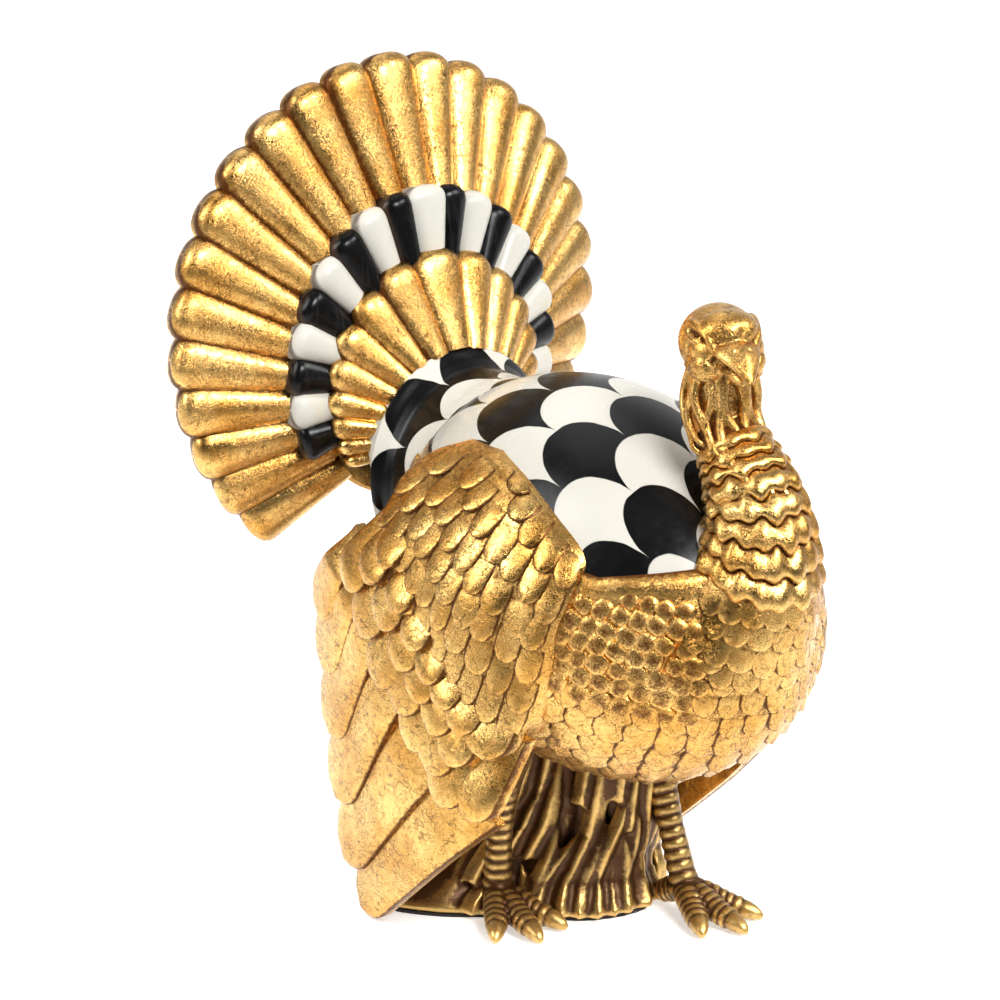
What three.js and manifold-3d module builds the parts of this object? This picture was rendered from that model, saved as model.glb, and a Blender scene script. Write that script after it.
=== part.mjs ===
import * as THREE from "three";
import { mergeVertices } from "three/addons/utils/BufferGeometryUtils.js";
import Module from "manifold-3d";

// Strutting turkey figure, cast in sections that are pinned and glued together.
// Millimetres and degrees. The bird faces -Y, +Z is up and the table is at Z = 0.

// Driving dimensions
const GLUE_GAP = 0.3;
const BODY_WIDTH = 170;
const BODY_FRONT = 130;
const BODY_REAR = 112;
const BODY_DEPTH = 181;
const BODY_TILT = 12;
const BODY_HEIGHT = 178;
const BODY_SETBACK = -24;
const SHELL_WALL = 6;
const SADDLE_SEAM = 40;
const SADDLE_FRONT = -67;
const WING_STANDOFF = 8;
const WING_SKIN = 6;
const HEAD_TURN = 20;
const HEAD_WIDTH = 41;
const LEG_SPACING = 75;
const LEG_STRIDE = 53;
const SHANK_DIAMETER = 12.5;
const BASE_SPREAD = 82;
const BASE_CENTRE = 35;
const FELT_THICKNESS = 1.5;
const ROD_DIAMETER = 4;
const WING_PIN_DIAMETER = 5;
const DOWEL_DIAMETER = 8;

const wasm = await Module();
wasm.setup();

const radians = THREE.MathUtils.degToRad;
const vector = (x, y, z) => new THREE.Vector3(x, y, z);
const mix = THREE.MathUtils.lerp;

// Closed triangle meshes and solids

function manifoldOf(positions, triangles) {
  const mesh = new wasm.Mesh({
    numProp: 3,
    vertProperties: new Float32Array(positions),
    triVerts: new Uint32Array(triangles),
  });
  return new wasm.Manifold(mesh);
}

// A geometry's closed surface as a solid with its faces turned outwards.
function solidOf(geometry) {
  const loose = geometry.index ? geometry.toNonIndexed() : geometry.clone();
  const bare = new THREE.BufferGeometry();
  bare.setAttribute("position", loose.getAttribute("position"));
  const merged = mergeVertices(bare, 1e-4);
  const corners = merged.index.array;
  const kept = [];
  for (let i = 0; i < corners.length; i += 3) {
    const [a, b, c] = corners.slice(i, i + 3);
    if (a !== b && b !== c && c !== a) kept.push(a, b, c);
  }
  const positions = merged.getAttribute("position").array;
  const solid = manifoldOf(positions, kept);
  if (solid.volume() > 0) return solid;
  return manifoldOf(positions, kept.reverse());
}

function geometryOf(solid) {
  const mesh = solid.getMesh();
  const flat = [];
  for (let i = 0; i < mesh.numVert; i += 1) {
    const start = i * mesh.numProp;
    flat.push(...mesh.vertProperties.slice(start, start + 3));
  }
  const geometry = new THREE.BufferGeometry();
  geometry.setAttribute("position", new THREE.Float32BufferAttribute(flat, 3));
  geometry.setIndex(Array.from(mesh.triVerts));
  geometry.computeVertexNormals();
  return geometry;
}

// The main body of a piece whose cuts can leave crumbs beside it.
function mainBody(solid) {
  const bodies = solid.decompose();
  bodies.sort((a, b) => b.volume() - a.volume());
  return bodies[0];
}

function joined(solids) {
  return solids.reduce((whole, next) => whole.add(next));
}

function without(solid, cutters) {
  return cutters.reduce((left, cutter) => left.subtract(cutter), solid);
}

function meshGeometry(points, faces) {
  const geometry = new THREE.BufferGeometry().setFromPoints(points);
  geometry.setIndex(faces);
  return geometry;
}

// Skin over a run of closed rings with the same count of points, capped at both ends.
function loft(rings) {
  const count = rings[0].length;
  const points = rings.flat();
  const faces = [];
  for (let r = 0; r + 1 < rings.length; r += 1) {
    for (let i = 0; i < count; i += 1) {
      const a = r * count + i;
      const b = r * count + ((i + 1) % count);
      faces.push(a, b, b + count, a, b + count, a + count);
    }
  }
  const capEnd = (ring, start, flip) => {
    const middle = vector(0, 0, 0);
    ring.forEach((p) => middle.addScaledVector(p, 1 / count));
    points.push(middle);
    for (let i = 0; i < count; i += 1) {
      const a = start + i;
      const b = start + ((i + 1) % count);
      if (flip) faces.push(points.length - 1, b, a);
      else faces.push(points.length - 1, a, b);
    }
  };
  capEnd(rings[0], 0, true);
  capEnd(rings[rings.length - 1], (rings.length - 1) * count, false);
  return solidOf(meshGeometry(points, faces));
}

// Solid between a front and a back grid of points of the same size.
function slab(front, back) {
  const rows = front.length;
  const columns = front[0].length;
  const offset = rows * columns;
  const points = [...front.flat(), ...back.flat()];
  const faces = [];
  const quad = (a, b, c, d) => faces.push(a, b, c, a, c, d);
  const at = (r, c) => r * columns + c;
  for (let r = 0; r + 1 < rows; r += 1) {
    for (let c = 0; c + 1 < columns; c += 1) {
      const corners = [at(r, c), at(r, c + 1), at(r + 1, c + 1), at(r + 1, c)];
      quad(...corners);
      quad(...corners.map((i) => i + offset).reverse());
    }
  }
  const wall = (a, b) => quad(b, a, a + offset, b + offset);
  for (let c = 0; c + 1 < columns; c += 1) {
    wall(at(0, c), at(0, c + 1));
    wall(at(rows - 1, c + 1), at(rows - 1, c));
  }
  for (let r = 0; r + 1 < rows; r += 1) {
    wall(at(r, columns - 1), at(r + 1, columns - 1));
    wall(at(r + 1, 0), at(r, 0));
  }
  return solidOf(meshGeometry(points, faces));
}

// Round limb through a list of stations [point, radius], each ring square to the run.
function limb(stations, sides, reference, grow = 0) {
  const rings = stations.map(([point, radius], i) => {
    const before = stations[Math.max(0, i - 1)][0];
    const after = stations[Math.min(stations.length - 1, i + 1)][0];
    const run = after.clone().sub(before).normalize();
    const across = run.clone().cross(reference).normalize();
    const upward = across.clone().cross(run);
    return Array.from({ length: sides }, (_, k) => {
      const turn = (2 * Math.PI * k) / sides;
      return point
        .clone()
        .addScaledVector(across, (radius + grow) * Math.cos(turn))
        .addScaledVector(upward, (radius + grow) * Math.sin(turn));
    });
  });
  return loft(rings);
}

function ball(centre, halves, rounds, stacks) {
  const geometry = new THREE.SphereGeometry(1, rounds, stacks);
  geometry.scale(...halves);
  geometry.translate(centre.x, centre.y, centre.z);
  return geometry;
}

// Body: an egg with the rump raised, in two shells over a core

const bodyFrame = new THREE.Matrix4().makeRotationX(radians(BODY_TILT));
bodyFrame.setPosition(0, BODY_SETBACK, BODY_HEIGHT);
const inBody = (x, along, up) => vector(x, along, up).applyMatrix4(bodyFrame);
const RUMP = inBody(0, BODY_REAR, 0);
const BREAST = inBody(0, -BODY_FRONT, 0);
const fromRump = (x, y, z) => RUMP.clone().add(vector(x, y, z));
const fromBreast = (x, y, z) => BREAST.clone().add(vector(x, y, z));

function bodySolid(grow, rounds, stacks) {
  const halves = [BODY_WIDTH / 2 + grow, 1, BODY_DEPTH / 2 + grow];
  const geometry = ball(vector(0, 0, 0), halves, rounds, stacks);
  const places = geometry.getAttribute("position");
  for (let i = 0; i < places.count; i += 1) {
    const along = places.getY(i);
    places.setY(i, along * (along > 0 ? BODY_REAR + grow : BODY_FRONT + grow));
  }
  return solidOf(geometry.applyMatrix4(bodyFrame));
}

// The block that the painted saddle is cut from: over the seam and behind its front edge.
function saddleBlock(inset) {
  const reach = 2 * BODY_FRONT;
  const corner = [SADDLE_FRONT + 0.19 * inset, SADDLE_SEAM + inset];
  const shape = new THREE.Shape();
  shape.moveTo(...corner);
  shape.lineTo(reach, corner[1]);
  shape.lineTo(reach, corner[1] + reach);
  shape.lineTo(corner[0] - 0.93 * reach, corner[1] + reach);
  shape.lineTo(corner[0] - 0.93 * reach, corner[1] + 0.366 * reach);
  const geometry = new THREE.ExtrudeGeometry(shape, {
    depth: 2 * BODY_WIDTH,
    bevelEnabled: false,
  });
  geometry.translate(0, 0, -BODY_WIDTH);
  const upright = new THREE.Matrix4().makeBasis(
    vector(0, 1, 0),
    vector(0, 0, 1),
    vector(1, 0, 0),
  );
  return solidOf(geometry.applyMatrix4(upright).applyMatrix4(bodyFrame));
}

const bodyOutside = bodySolid(0, 32, 20);
const bodyCleared = bodySolid(GLUE_GAP, 32, 20);
const bodyInside = bodySolid(-SHELL_WALL, 20, 12);
const bodyCore = bodySolid(-SHELL_WALL - 2 * GLUE_GAP, 20, 12);

// Wings: a skin with tiers of feathers, and a deep shoulder that meets the body

const WING_LINE = BODY_HEIGHT - 2;
const WING_Y = BODY_SETBACK + 24;
const wingScale = BODY_HEIGHT / 178;
const shoulderDepth = 0.21 * BODY_WIDTH;

// Half-width of the body at a place seen from its side.
function bodyHalfWidth(y, z) {
  const place = vector(0, y, z).applyMatrix4(bodyFrame.clone().invert());
  const along = place.y / (place.y > 0 ? BODY_REAR : BODY_FRONT);
  const up = place.z / (BODY_DEPTH / 2);
  return (BODY_WIDTH / 2) * Math.sqrt(Math.max(0, 1 - along * along - up * up));
}

// Places on the wing are [y, z] seen from its side, drawn for the standing height of the body.
// The wing hugs the body at the shoulder and stands off it towards the tail and the table.
function wingPoint(side, y, z, lift) {
  const height = z * wingScale;
  const rise = (height - WING_LINE) / (0.47 * BODY_DEPTH);
  const droop = 1 - 0.054 * ((WING_LINE - height) / WING_LINE);
  const profile = rise > 0 ? Math.sqrt(Math.max(0.04, 1 - rise * rise)) : droop;
  const reach = y > -20 ? y / (1.35 * BODY_FRONT) : (y + 20) / (0.72 * BODY_FRONT);
  const taper = Math.sqrt(Math.max(0.1, 1 - reach * reach));
  const sheet = (BODY_WIDTH / 2 + WING_STANDOFF) * profile * taper;
  const span = Math.max(sheet, bodyHalfWidth(WING_Y + y, height) + 1.5);
  return vector(side * (span + lift), WING_Y + y, height);
}

// Sheet between a front and a rear edge, given in rows [z, front y, rear y] from the top.
function wingSheet(side, rows, columns, lift, depth, crown, grow) {
  const last = rows.length - 1;
  const place = (row, i, c, out) => {
    const [z, front, rear] = row;
    const lean = i === 0 ? grow : i === last ? -grow : 0;
    const y = mix(front - grow, rear + grow, c / columns);
    return wingPoint(side, y, z + lean, out);
  };
  const grid = (out) =>
    rows.map((row, i) =>
      Array.from({ length: columns + 1 }, (_, c) => {
        const edge = Math.min(i, last - i) === 0 || c === 0 || c === columns;
        return place(row, i, c, out(edge ? 0 : crown));
      }),
    );
  const outer = grid((rise) => lift + rise + grow);
  const inner = grid(() => lift - depth - grow);
  return slab(outer, inner);
}

// One feather with a round tip: tip place, degrees below the rear, length, width, lift.
function wingFeather(side, [y, z, fall, length, width, lift], grow) {
  const run = [Math.cos(radians(fall)), -Math.sin(radians(fall))];
  const grids = [lift + grow, lift - WING_SKIN - grow].map((out, k) => {
    const steps = [0, 0.35, 0.7, 0.9, 1];
    return steps.map((t) => {
      const late = Math.max(0, (t - 0.72) / 0.3);
      const half = (width / 2 + grow) * Math.sqrt(1 - late * late) * mix(0.8, 1, t);
      const back = (1 - t) * length;
      return [-1, 0, 1].map((w) => {
        const dome = k === 0 ? 2.5 * (1 - w * w) : 0;
        const px = y - back * run[0] - w * half * run[1];
        const pz = z - back * run[1] + w * half * run[0];
        return wingPoint(side, px, pz, out + dome);
      });
    });
  });
  return slab(...grids);
}

const FLIGHT_FEATHERS = [
  [53, 7, 39, 122, 31, 1],
  [68, 28, 45, 126, 38, 1.6],
  [73, 58, 54, 118, 39, 2.2],
  [76, 90, 59, 110, 38, 2.8],
  [79, 122, 60, 92, 36, 3.4],
  [82, 149, 58, 80, 36, 4],
];
const COVERTS = [
  [-42, 78, 68, 46, 23, 4.6],
  [-21, 82, 57, 50, 28, 5],
  [-14, 97, 54, 52, 28, 5.4],
  [-1, 105, 56, 52, 28, 5.8],
  [7, 121, 57, 52, 28, 6.2],
  [23, 130, 58, 52, 28, 6.6],
  [35, 152, 58, 50, 28, 7],
];
const WING_ROWS = [
  [242, -6, 20],
  [214, -70, 30],
  [180, -80, 52],
  [147, -74, 70],
  [118, -60, 66],
  [94, -46, 62],
  [63, -28, 60],
  [36, 0, 54],
  [15, 26, 42],
];
const SHOULDER_ROWS = [
  [247, -22, 2],
  [238, -45, 20],
  [226, -68, 29],
  [212, -88, 30],
  [198, -91, 28],
  [178, -86, 12],
  [158, -82, -14],
  [140, -75, -36],
  [128, -69, -42],
  [120, -61, -48],
];

function wingSolid(side, grow) {
  const parts = [
    wingSheet(side, WING_ROWS, 4, -1, WING_SKIN, 0, grow),
    wingSheet(side, SHOULDER_ROWS, 5, 3, shoulderDepth, 5, grow),
  ];
  [...FLIGHT_FEATHERS, ...COVERTS].forEach((feather) => {
    parts.push(wingFeather(side, feather, grow));
  });
  return joined(parts);
}

// Tail: a painted collar on the rump, then three rows of feathers, one behind the other

const COLLAR_SECTIONS = [
  [-45, -7, 58, 63],
  [-15, 2, 51, 54],
  [-5.5, 6, 55.5, 58],
  [-3.5, 8, 49, 51],
  [27.2, 45, 43, 43],
];
const COLLAR_SIDES = 28;

function collarSolid(grow) {
  const rings = COLLAR_SECTIONS.map(([y, z, halfWidth, halfHeight], i) => {
    const end = i === 0 ? -1 : i === COLLAR_SECTIONS.length - 1 ? 1 : 0;
    return Array.from({ length: COLLAR_SIDES }, (_, k) => {
      const turn = (2 * Math.PI * k) / COLLAR_SIDES;
      const x = (halfWidth + grow) * Math.cos(turn);
      const rise = (halfHeight + grow) * Math.sin(turn);
      return fromRump(x, y + end * grow, z + rise);
    });
  });
  return loft(rings);
}

const TAIL_ROWS = {
  outer: {
    pairs: 12,
    step: 11.5,
    close: 0,
    tip: { y: 55.5, z: 72, wide: 130.5, high: 130 },
    root: { y: 29.5, z: 57, wide: 68, high: 68 },
    notch: 0.16,
    dome: 5,
    back: 5,
    rings: 4,
  },
  middle: {
    pairs: 9,
    step: 12.5,
    close: 0,
    tip: { y: 25.5, z: 55, wide: 82, high: 84 },
    root: { y: 19.5, z: 49, wide: 50, high: 50 },
    notch: 0.22,
    dome: 4,
    back: 12,
    rings: 3,
  },
  inner: {
    pairs: 8,
    step: 23.3,
    close: 1,
    tip: { y: 18.5, z: 46, wide: 64, high: 64 },
    root: { y: -3.5, z: 7, wide: 52.5, high: 55 },
    notch: 0.14,
    dome: 4,
    back: 12,
    rings: 3,
  },
};
const ACROSS = [-0.5, -0.24, 0.24];
const PLATE_RADIUS = 72;

function ringPoint(ring, angle) {
  const x = ring.wide * Math.sin(angle);
  return fromRump(x, ring.y, ring.z + ring.high * Math.cos(angle));
}

// A fluted fan of feathers with rounded tips.
function tailRow(row) {
  const places = [];
  for (let i = -row.pairs; i <= row.pairs; i += 1) {
    ACROSS.forEach((offset) => places.push([i, offset]));
  }
  places.push([row.pairs, 0.5]);
  return tailFan(row, places, (offset) => Math.sqrt(1 - (2 * offset) ** 2));
}

// The space in front of a row's crests, for the row that lies on it.
function clearedRow(row) {
  const places = [];
  for (let i = -row.pairs; i <= row.pairs; i += 1) {
    places.push([i, -0.5]);
  }
  places.push([row.pairs, 0.5]);
  return tailFan(row, places, () => 1, GLUE_GAP);
}

function tailFan(row, places, roundAt, grow = 0) {
  const front = [];
  const back = [];
  places.forEach(([i, offset]) => {
    const u = i + offset;
    const angle = radians(row.step * u - row.close * u * Math.abs(u));
    const round = roundAt(offset);
    const reach = 1 - row.notch * (1 - round);
    const rise = row.dome * round + grow;
    const line = Array.from({ length: row.rings + 1 }, (_, s) => {
      const t = (reach * s) / row.rings;
      return ringPoint(row.root, angle).lerp(ringPoint(row.tip, angle), t);
    });
    front.push(line.map((place) => place.clone().add(vector(0, -rise, 0))));
    back.push(line.map((place) => place.clone().add(vector(0, row.back, 0))));
  });
  return slab(front, back);
}

// The plate behind the tail that carries the outer feathers and takes the dowels.
function tailPlate(grow) {
  const radius = PLATE_RADIUS + grow;
  const plate = new THREE.CylinderGeometry(radius, radius, 6 + 2 * grow, 36);
  const middle = fromRump(0, 30.5, 55);
  plate.translate(middle.x, middle.y, middle.z);
  return solidOf(plate);
}

// Neck and head

const NECK_STATIONS = [
  [29, 21, 36],
  [20, 39, 32],
  [15.5, 56, 28.5],
  [14, 71, 25],
  [18, 87, 21.8],
  [27, 101, 19],
  [36, 112, 17.8],
  [41.5, 123, 18],
  [42, 140, 18.5],
];
const HEAD_AT = [0, 42, 151];

function neckSolid() {
  const stations = NECK_STATIONS.map(([y, z, r]) => [fromBreast(0, y, z), r]);
  return limb(stations, 20, vector(1, 0, 0));
}

// The head is drawn facing -Y about its own middle, then turned to the bird's right.
function headSolid() {
  const half = HEAD_WIDTH / 2;
  const parts = [
    solidOf(ball(vector(0, 0, 0), [half, 1.15 * half, 1.08 * half], 18, 12)),
    solidOf(ball(vector(0, -8, 10), [0.95 * half, 0.85 * half, 8], 14, 8)),
  ];
  const beak = [
    [vector(0, -14, 4), 9],
    [vector(0, -24, 3), 7.5],
    [vector(0, -30, -1), 5],
    [vector(0, -33.5, -7), 1.2],
  ];
  parts.push(limb(beak, 10, vector(1, 0, 0)));
  const snood = [
    [vector(0, -20, 8), 3],
    [vector(1, -26, 6), 3.4],
    [vector(3, -29, 0), 2.4],
  ];
  parts.push(limb(snood, 8, vector(1, 0, 0)));
  const wattle = [
    [vector(0, -16, -8), 9],
    [vector(0, -21, -20), 8],
    [vector(0, -21, -36), 6.5],
    [vector(-1, -19, -54), 4.5],
  ];
  parts.push(limb(wattle, 10, vector(1, 0, 0)));
  const turned = new THREE.Matrix4().makeRotationZ(radians(-HEAD_TURN));
  turned.setPosition(fromBreast(...HEAD_AT));
  return solidOf(geometryOf(joined(parts)).applyMatrix4(turned));
}

// Legs, each with three front toes and a hind toe

const THIGH_TOP = BODY_HEIGHT - 40;
const STEP_MIDDLE = BODY_SETBACK + 2.5;
const LEGS = {
  right: { side: -1, ankle: STEP_MIDDLE + LEG_STRIDE / 2, hip: 22, turn: 12 },
  left: { side: 1, ankle: STEP_MIDDLE - LEG_STRIDE / 2, hip: 24, turn: 0 },
};
const TOES = [
  [-29, 35],
  [0, 40],
  [29, 35],
  [180, 22],
];

function shankLine(leg, z) {
  const x = (leg.side * LEG_SPACING) / 2;
  const t = Math.max(0, (z - 15) / (THIGH_TOP - 15));
  return vector(x, mix(leg.ankle, BODY_SETBACK + leg.hip, t), z);
}

function legSolid(leg, grow) {
  const r = SHANK_DIAMETER / 2;
  const heights = [10, 20, 45, 70, 84, 100, THIGH_TOP];
  const radii = [r + 2, r + 0.6, r, r + 0.6, r + 4, r + 10, r + 13];
  const stations = heights.map((z, i) => [shankLine(leg, z), radii[i]]);
  const parts = [limb(stations, 12, vector(1, 0, 0), grow)];
  const ankle = shankLine(leg, 12);
  TOES.forEach(([splay, length]) => {
    const angle = radians(splay + leg.turn);
    const way = vector(-Math.sin(angle), -Math.cos(angle), 0);
    const toe = [
      [-2, 12, 7.2],
      [0.3 * length, 10.5, 7],
      [0.6 * length, 7.5, 6.2],
      [0.84 * length, 6, 5.4],
      [length, 4.2, 3.2],
      [length + 5, 2.6, 1.4],
    ].map(([run, z, radius]) => {
      const place = ankle.clone().addScaledVector(way, run);
      place.z = z;
      return [place, radius];
    });
    parts.push(limb(toe, 8, vector(0, 0, 1), grow));
  });
  return joined(parts);
}

// Base: a clump of grass that rises to the belly, on felt

// Outline seen from above, as shares of the spread from the middle of the clump.
const BASE_OUTLINE = [
  [-0.95, 0.12],
  [-0.78, -0.16],
  [-0.57, -0.35],
  [-0.27, -0.65],
  [-0.06, -0.83],
  [0.3, -0.89],
  [0.56, -0.67],
  [0.73, -0.37],
  [0.93, 0],
  [1, 0.26],
  [0.8, 0.61],
  [0.37, 0.79],
  [0, 0.84],
  [-0.37, 0.79],
  [-0.8, 0.61],
  [-0.95, 0.34],
];
// Rings of the clump: height, share of the spread, depth of the flutes, and lean to the left foot.
const BASE_RINGS = [
  [0, 0.98, 0, 0],
  [2.5, 1, 0, 0],
  [7, 0.9, 1, 0],
  [16, 0.78, 2.5, 3],
  [45, 0.68, 2.5, 13],
  [BODY_HEIGHT - 95, 0.6, 2.5, 18],
  [BODY_HEIGHT - 55, 0.56, 2.5, 18],
];
const BLADES = 15;
const outline = new THREE.CatmullRomCurve3(
  BASE_OUTLINE.map(([x, y]) => vector(x, y, 0)),
  true,
);

function baseRing(z, share, flute, lean = 0) {
  return outline.getPoints(4 * BLADES).slice(1).map((place, k) => {
    const wave = flute * Math.cos((Math.PI * k) / 2 + 0.03 * z);
    const size = share * BASE_SPREAD + wave;
    return vector(place.x * size + lean, BASE_CENTRE + place.y * size - lean, z);
  });
}

function baseSolid() {
  const floor = FELT_THICKNESS + GLUE_GAP;
  return loft(BASE_RINGS.map(([z, ...form]) => baseRing(floor + z, ...form)));
}

function feltSolid() {
  return loft([baseRing(0, 0.94, 0), baseRing(FELT_THICKNESS, 0.94, 0)]);
}

// Rods, pins and dowels that hold the sections together

function pinBetween(from, to, diameter, grow) {
  const run = to.clone().sub(from);
  const length = run.length() + 2 * grow;
  const radius = diameter / 2 + grow;
  const rod = new THREE.CylinderGeometry(radius, radius, length, 10);
  const turn = new THREE.Quaternion();
  turn.setFromUnitVectors(vector(0, 1, 0), run.clone().normalize());
  const place = from.clone().addScaledVector(run, 0.5);
  rod.applyMatrix4(new THREE.Matrix4().compose(place, turn, vector(1, 1, 1)));
  return solidOf(rod);
}

const wingPin = (side, y) => [
  wingPoint(side, y, 176, -2),
  wingPoint(side, y, 176, -42),
  WING_PIN_DIAMETER,
];
const legRod = (leg) => [
  shankLine(leg, 20),
  shankLine(leg, THIGH_TOP + 8),
  ROD_DIAMETER,
];
const tailDowel = (side) => [
  fromRump(22 * side, -42, 30),
  fromRump(22 * side, 30.5, 30),
  DOWEL_DIAMETER,
];
const BELLY_POST = [
  vector(0, BASE_CENTRE - 15, FELT_THICKNESS + 6),
  vector(0, BASE_CENTRE - 15, BODY_HEIGHT - 45),
  DOWEL_DIAMETER,
];
const PINS = {
  base_post: BELLY_POST,
  right_leg_rod: legRod(LEGS.right),
  left_leg_rod: legRod(LEGS.left),
  neck_dowel: [fromBreast(0, 9, 73), fromBreast(0, 9, 11), DOWEL_DIAMETER],
  right_wing_pin_front: wingPin(-1, -60),
  right_wing_pin_rear: wingPin(-1, -5),
  left_wing_pin_front: wingPin(1, -60),
  left_wing_pin_rear: wingPin(1, -5),
  tail_dowel_right: tailDowel(-1),
  tail_dowel_left: tailDowel(1),
};
const pinHoles = Object.values(PINS).map((pin) => pinBetween(...pin, GLUE_GAP));

// Sections cut to one another

const drilled = (solid, cutters) => mainBody(without(solid, [...cutters, ...pinHoles]));

const clearedLegs = Object.values(LEGS).map((leg) => legSolid(leg, GLUE_GAP));
const clearedWings = [-1, 1].map((side) => wingSolid(side, GLUE_GAP));
const clearedCollar = collarSolid(GLUE_GAP);
const shell = bodyOutside.subtract(bodyInside);
const outerRow = tailRow(TAIL_ROWS.outer).add(tailPlate(0));
const clearedOuter = clearedRow(TAIL_ROWS.outer).add(tailPlate(GLUE_GAP));
const middleRow = tailRow(TAIL_ROWS.middle);
const clearedMiddle = clearedRow(TAIL_ROWS.middle);
const innerRow = tailRow(TAIL_ROWS.inner);

const SECTIONS = {
  base_felt: mainBody(without(feltSolid(), clearedLegs)),
  base_grass: drilled(baseSolid(), [bodyCleared, ...clearedLegs, ...clearedWings]),
  right_leg: drilled(legSolid(LEGS.right, 0), [bodyCleared]),
  left_leg: drilled(legSolid(LEGS.left, 0), [bodyCleared]),
  body_shell: drilled(shell, [saddleBlock(-GLUE_GAP / 2)]),
  body_core: drilled(bodyCore, []),
  back_panel: drilled(shell.intersect(saddleBlock(GLUE_GAP / 2)), []),
  neck_and_head: drilled(neckSolid().add(headSolid()), [bodyCleared]),
  right_wing: drilled(wingSolid(-1, 0), [bodyCleared, clearedCollar]),
  left_wing: drilled(wingSolid(1, 0), [bodyCleared, clearedCollar]),
  tail_collar: drilled(collarSolid(0), [bodyCleared, clearedOuter]),
  tail_inner_row: drilled(innerRow, [bodyCleared, clearedCollar, clearedMiddle, clearedOuter]),
  tail_middle_row: drilled(middleRow, [clearedCollar, clearedOuter]),
  tail_outer_row: drilled(outerRow, []),
};

// Finishes

const finish = (color, roughness, metalness) => ({ color, roughness, metalness });
const GOLD = finish(0xc9973f, 0.38, 0.85);
const BRONZE = finish(0x7d5a2a, 0.45, 0.8);
const IVORY = finish(0xece6d6, 0.3, 0);
const STEEL = finish(0x9a9c9e, 0.4, 0.9);
const FOAM = finish(0xd8c48e, 0.9, 0);
const FELT = finish(0x2e2b28, 0.95, 0);
const WOOD = finish(0xb98d57, 0.7, 0);
const FINISHES = {
  base_felt: FELT,
  base_grass: BRONZE,
  right_leg: BRONZE,
  left_leg: BRONZE,
  body_core: FOAM,
  back_panel: IVORY,
  tail_collar: IVORY,
  tail_middle_row: IVORY,
  neck_dowel: WOOD,
  tail_dowel_right: WOOD,
  tail_dowel_left: WOOD,
};

// Assembly

const figure = new THREE.Group();
figure.name = "turkey_figure";
const groups = {};
["base", "legs", "body", "neck", "wings", "tail"].forEach((name) => {
  groups[name] = new THREE.Group();
  groups[name].name = name + "_group";
  figure.add(groups[name]);
});
groups.body.position.set(0, BODY_SETBACK, BODY_HEIGHT);
groups.body.rotation.x = radians(BODY_TILT);
groups.neck.position.copy(BREAST);
groups.tail.position.copy(RUMP);
figure.updateMatrixWorld(true);

function groupFor(name) {
  if (name.startsWith("base")) return groups.base;
  if (name.includes("leg")) return groups.legs;
  if (name.includes("wing")) return groups.wings;
  if (name.startsWith("tail")) return groups.tail;
  if (name.startsWith("neck")) return groups.neck;
  return groups.body;
}

function place(name, solid, look) {
  const group = groupFor(name);
  const geometry = geometryOf(solid);
  geometry.applyMatrix4(group.matrixWorld.clone().invert());
  const mesh = new THREE.Mesh(geometry, new THREE.MeshStandardMaterial(look));
  mesh.name = name;
  group.add(mesh);
}

Object.entries(SECTIONS).forEach(([name, solid]) => {
  place(name, solid, FINISHES[name] ?? GOLD);
});
Object.entries(PINS).forEach(([name, pin]) => {
  place(name, pinBetween(...pin, 0), FINISHES[name] ?? STEEL);
});

export default figure;
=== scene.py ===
import math

import bmesh
import bpy
import numpy as np
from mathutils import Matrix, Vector


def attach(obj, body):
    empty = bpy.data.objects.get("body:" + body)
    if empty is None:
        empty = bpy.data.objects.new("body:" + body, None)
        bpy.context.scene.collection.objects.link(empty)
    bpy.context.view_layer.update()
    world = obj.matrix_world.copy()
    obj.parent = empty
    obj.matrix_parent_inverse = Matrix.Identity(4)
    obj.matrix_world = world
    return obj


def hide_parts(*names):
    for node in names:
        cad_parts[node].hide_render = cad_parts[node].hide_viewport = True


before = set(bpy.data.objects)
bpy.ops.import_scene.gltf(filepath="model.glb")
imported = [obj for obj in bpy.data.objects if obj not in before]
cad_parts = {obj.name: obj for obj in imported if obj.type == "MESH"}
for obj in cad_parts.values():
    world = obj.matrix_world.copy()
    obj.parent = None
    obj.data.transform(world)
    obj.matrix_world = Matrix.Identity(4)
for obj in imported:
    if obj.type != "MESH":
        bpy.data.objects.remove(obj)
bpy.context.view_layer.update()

# Strutting turkey figure, cast, gilded and painted.
# The pieces are worked out in millimetres and become metres when a mesh is made.
# The floor, the lamps and the camera are placed in metres.
# The bird faces -Y, its right side is -X, and it stands on the table at Z = 0.

MM = 0.001
SEED = 7
dice = np.random.default_rng(SEED)

BODY_MIDDLE = np.array([0, -24, 178])
BODY_HALF_WIDTH = 85
BODY_HALF_DEPTH = 90.5
BODY_FRONT = 130
BODY_REAR = 112
BODY_TILT = math.radians(12)
SHELL_WALL = 6
SADDLE_SEAM = 40
SADDLE_FRONT = -67
SADDLE_RISE = (-0.93, 0.366)
RIM_HEIGHT = 2.4
RIM_INSET = 5.5
RIM_HALF_WIDTH = 4.2

TILT_COS = math.cos(BODY_TILT)
TILT_SIN = math.sin(BODY_TILT)


# Body frame: x, along the body towards the rump, and up square to that

def turned_up(vectors):
    x, along, up = np.moveaxis(np.asarray(vectors, float), -1, 0)
    y = along * TILT_COS - up * TILT_SIN
    z = along * TILT_SIN + up * TILT_COS
    return np.stack([x, y, z], -1)


def in_body(x, along, up):
    return turned_up(np.stack(np.broadcast_arrays(x, along, up), -1)) + BODY_MIDDLE


def body_coordinates(places):
    x, y, z = np.moveaxis(np.asarray(places, float) - BODY_MIDDLE, -1, 0)
    return np.stack([x, y * TILT_COS + z * TILT_SIN, z * TILT_COS - y * TILT_SIN], -1)


def body_reach(along):
    return np.where(along > 0, BODY_REAR, BODY_FRONT)


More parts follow.
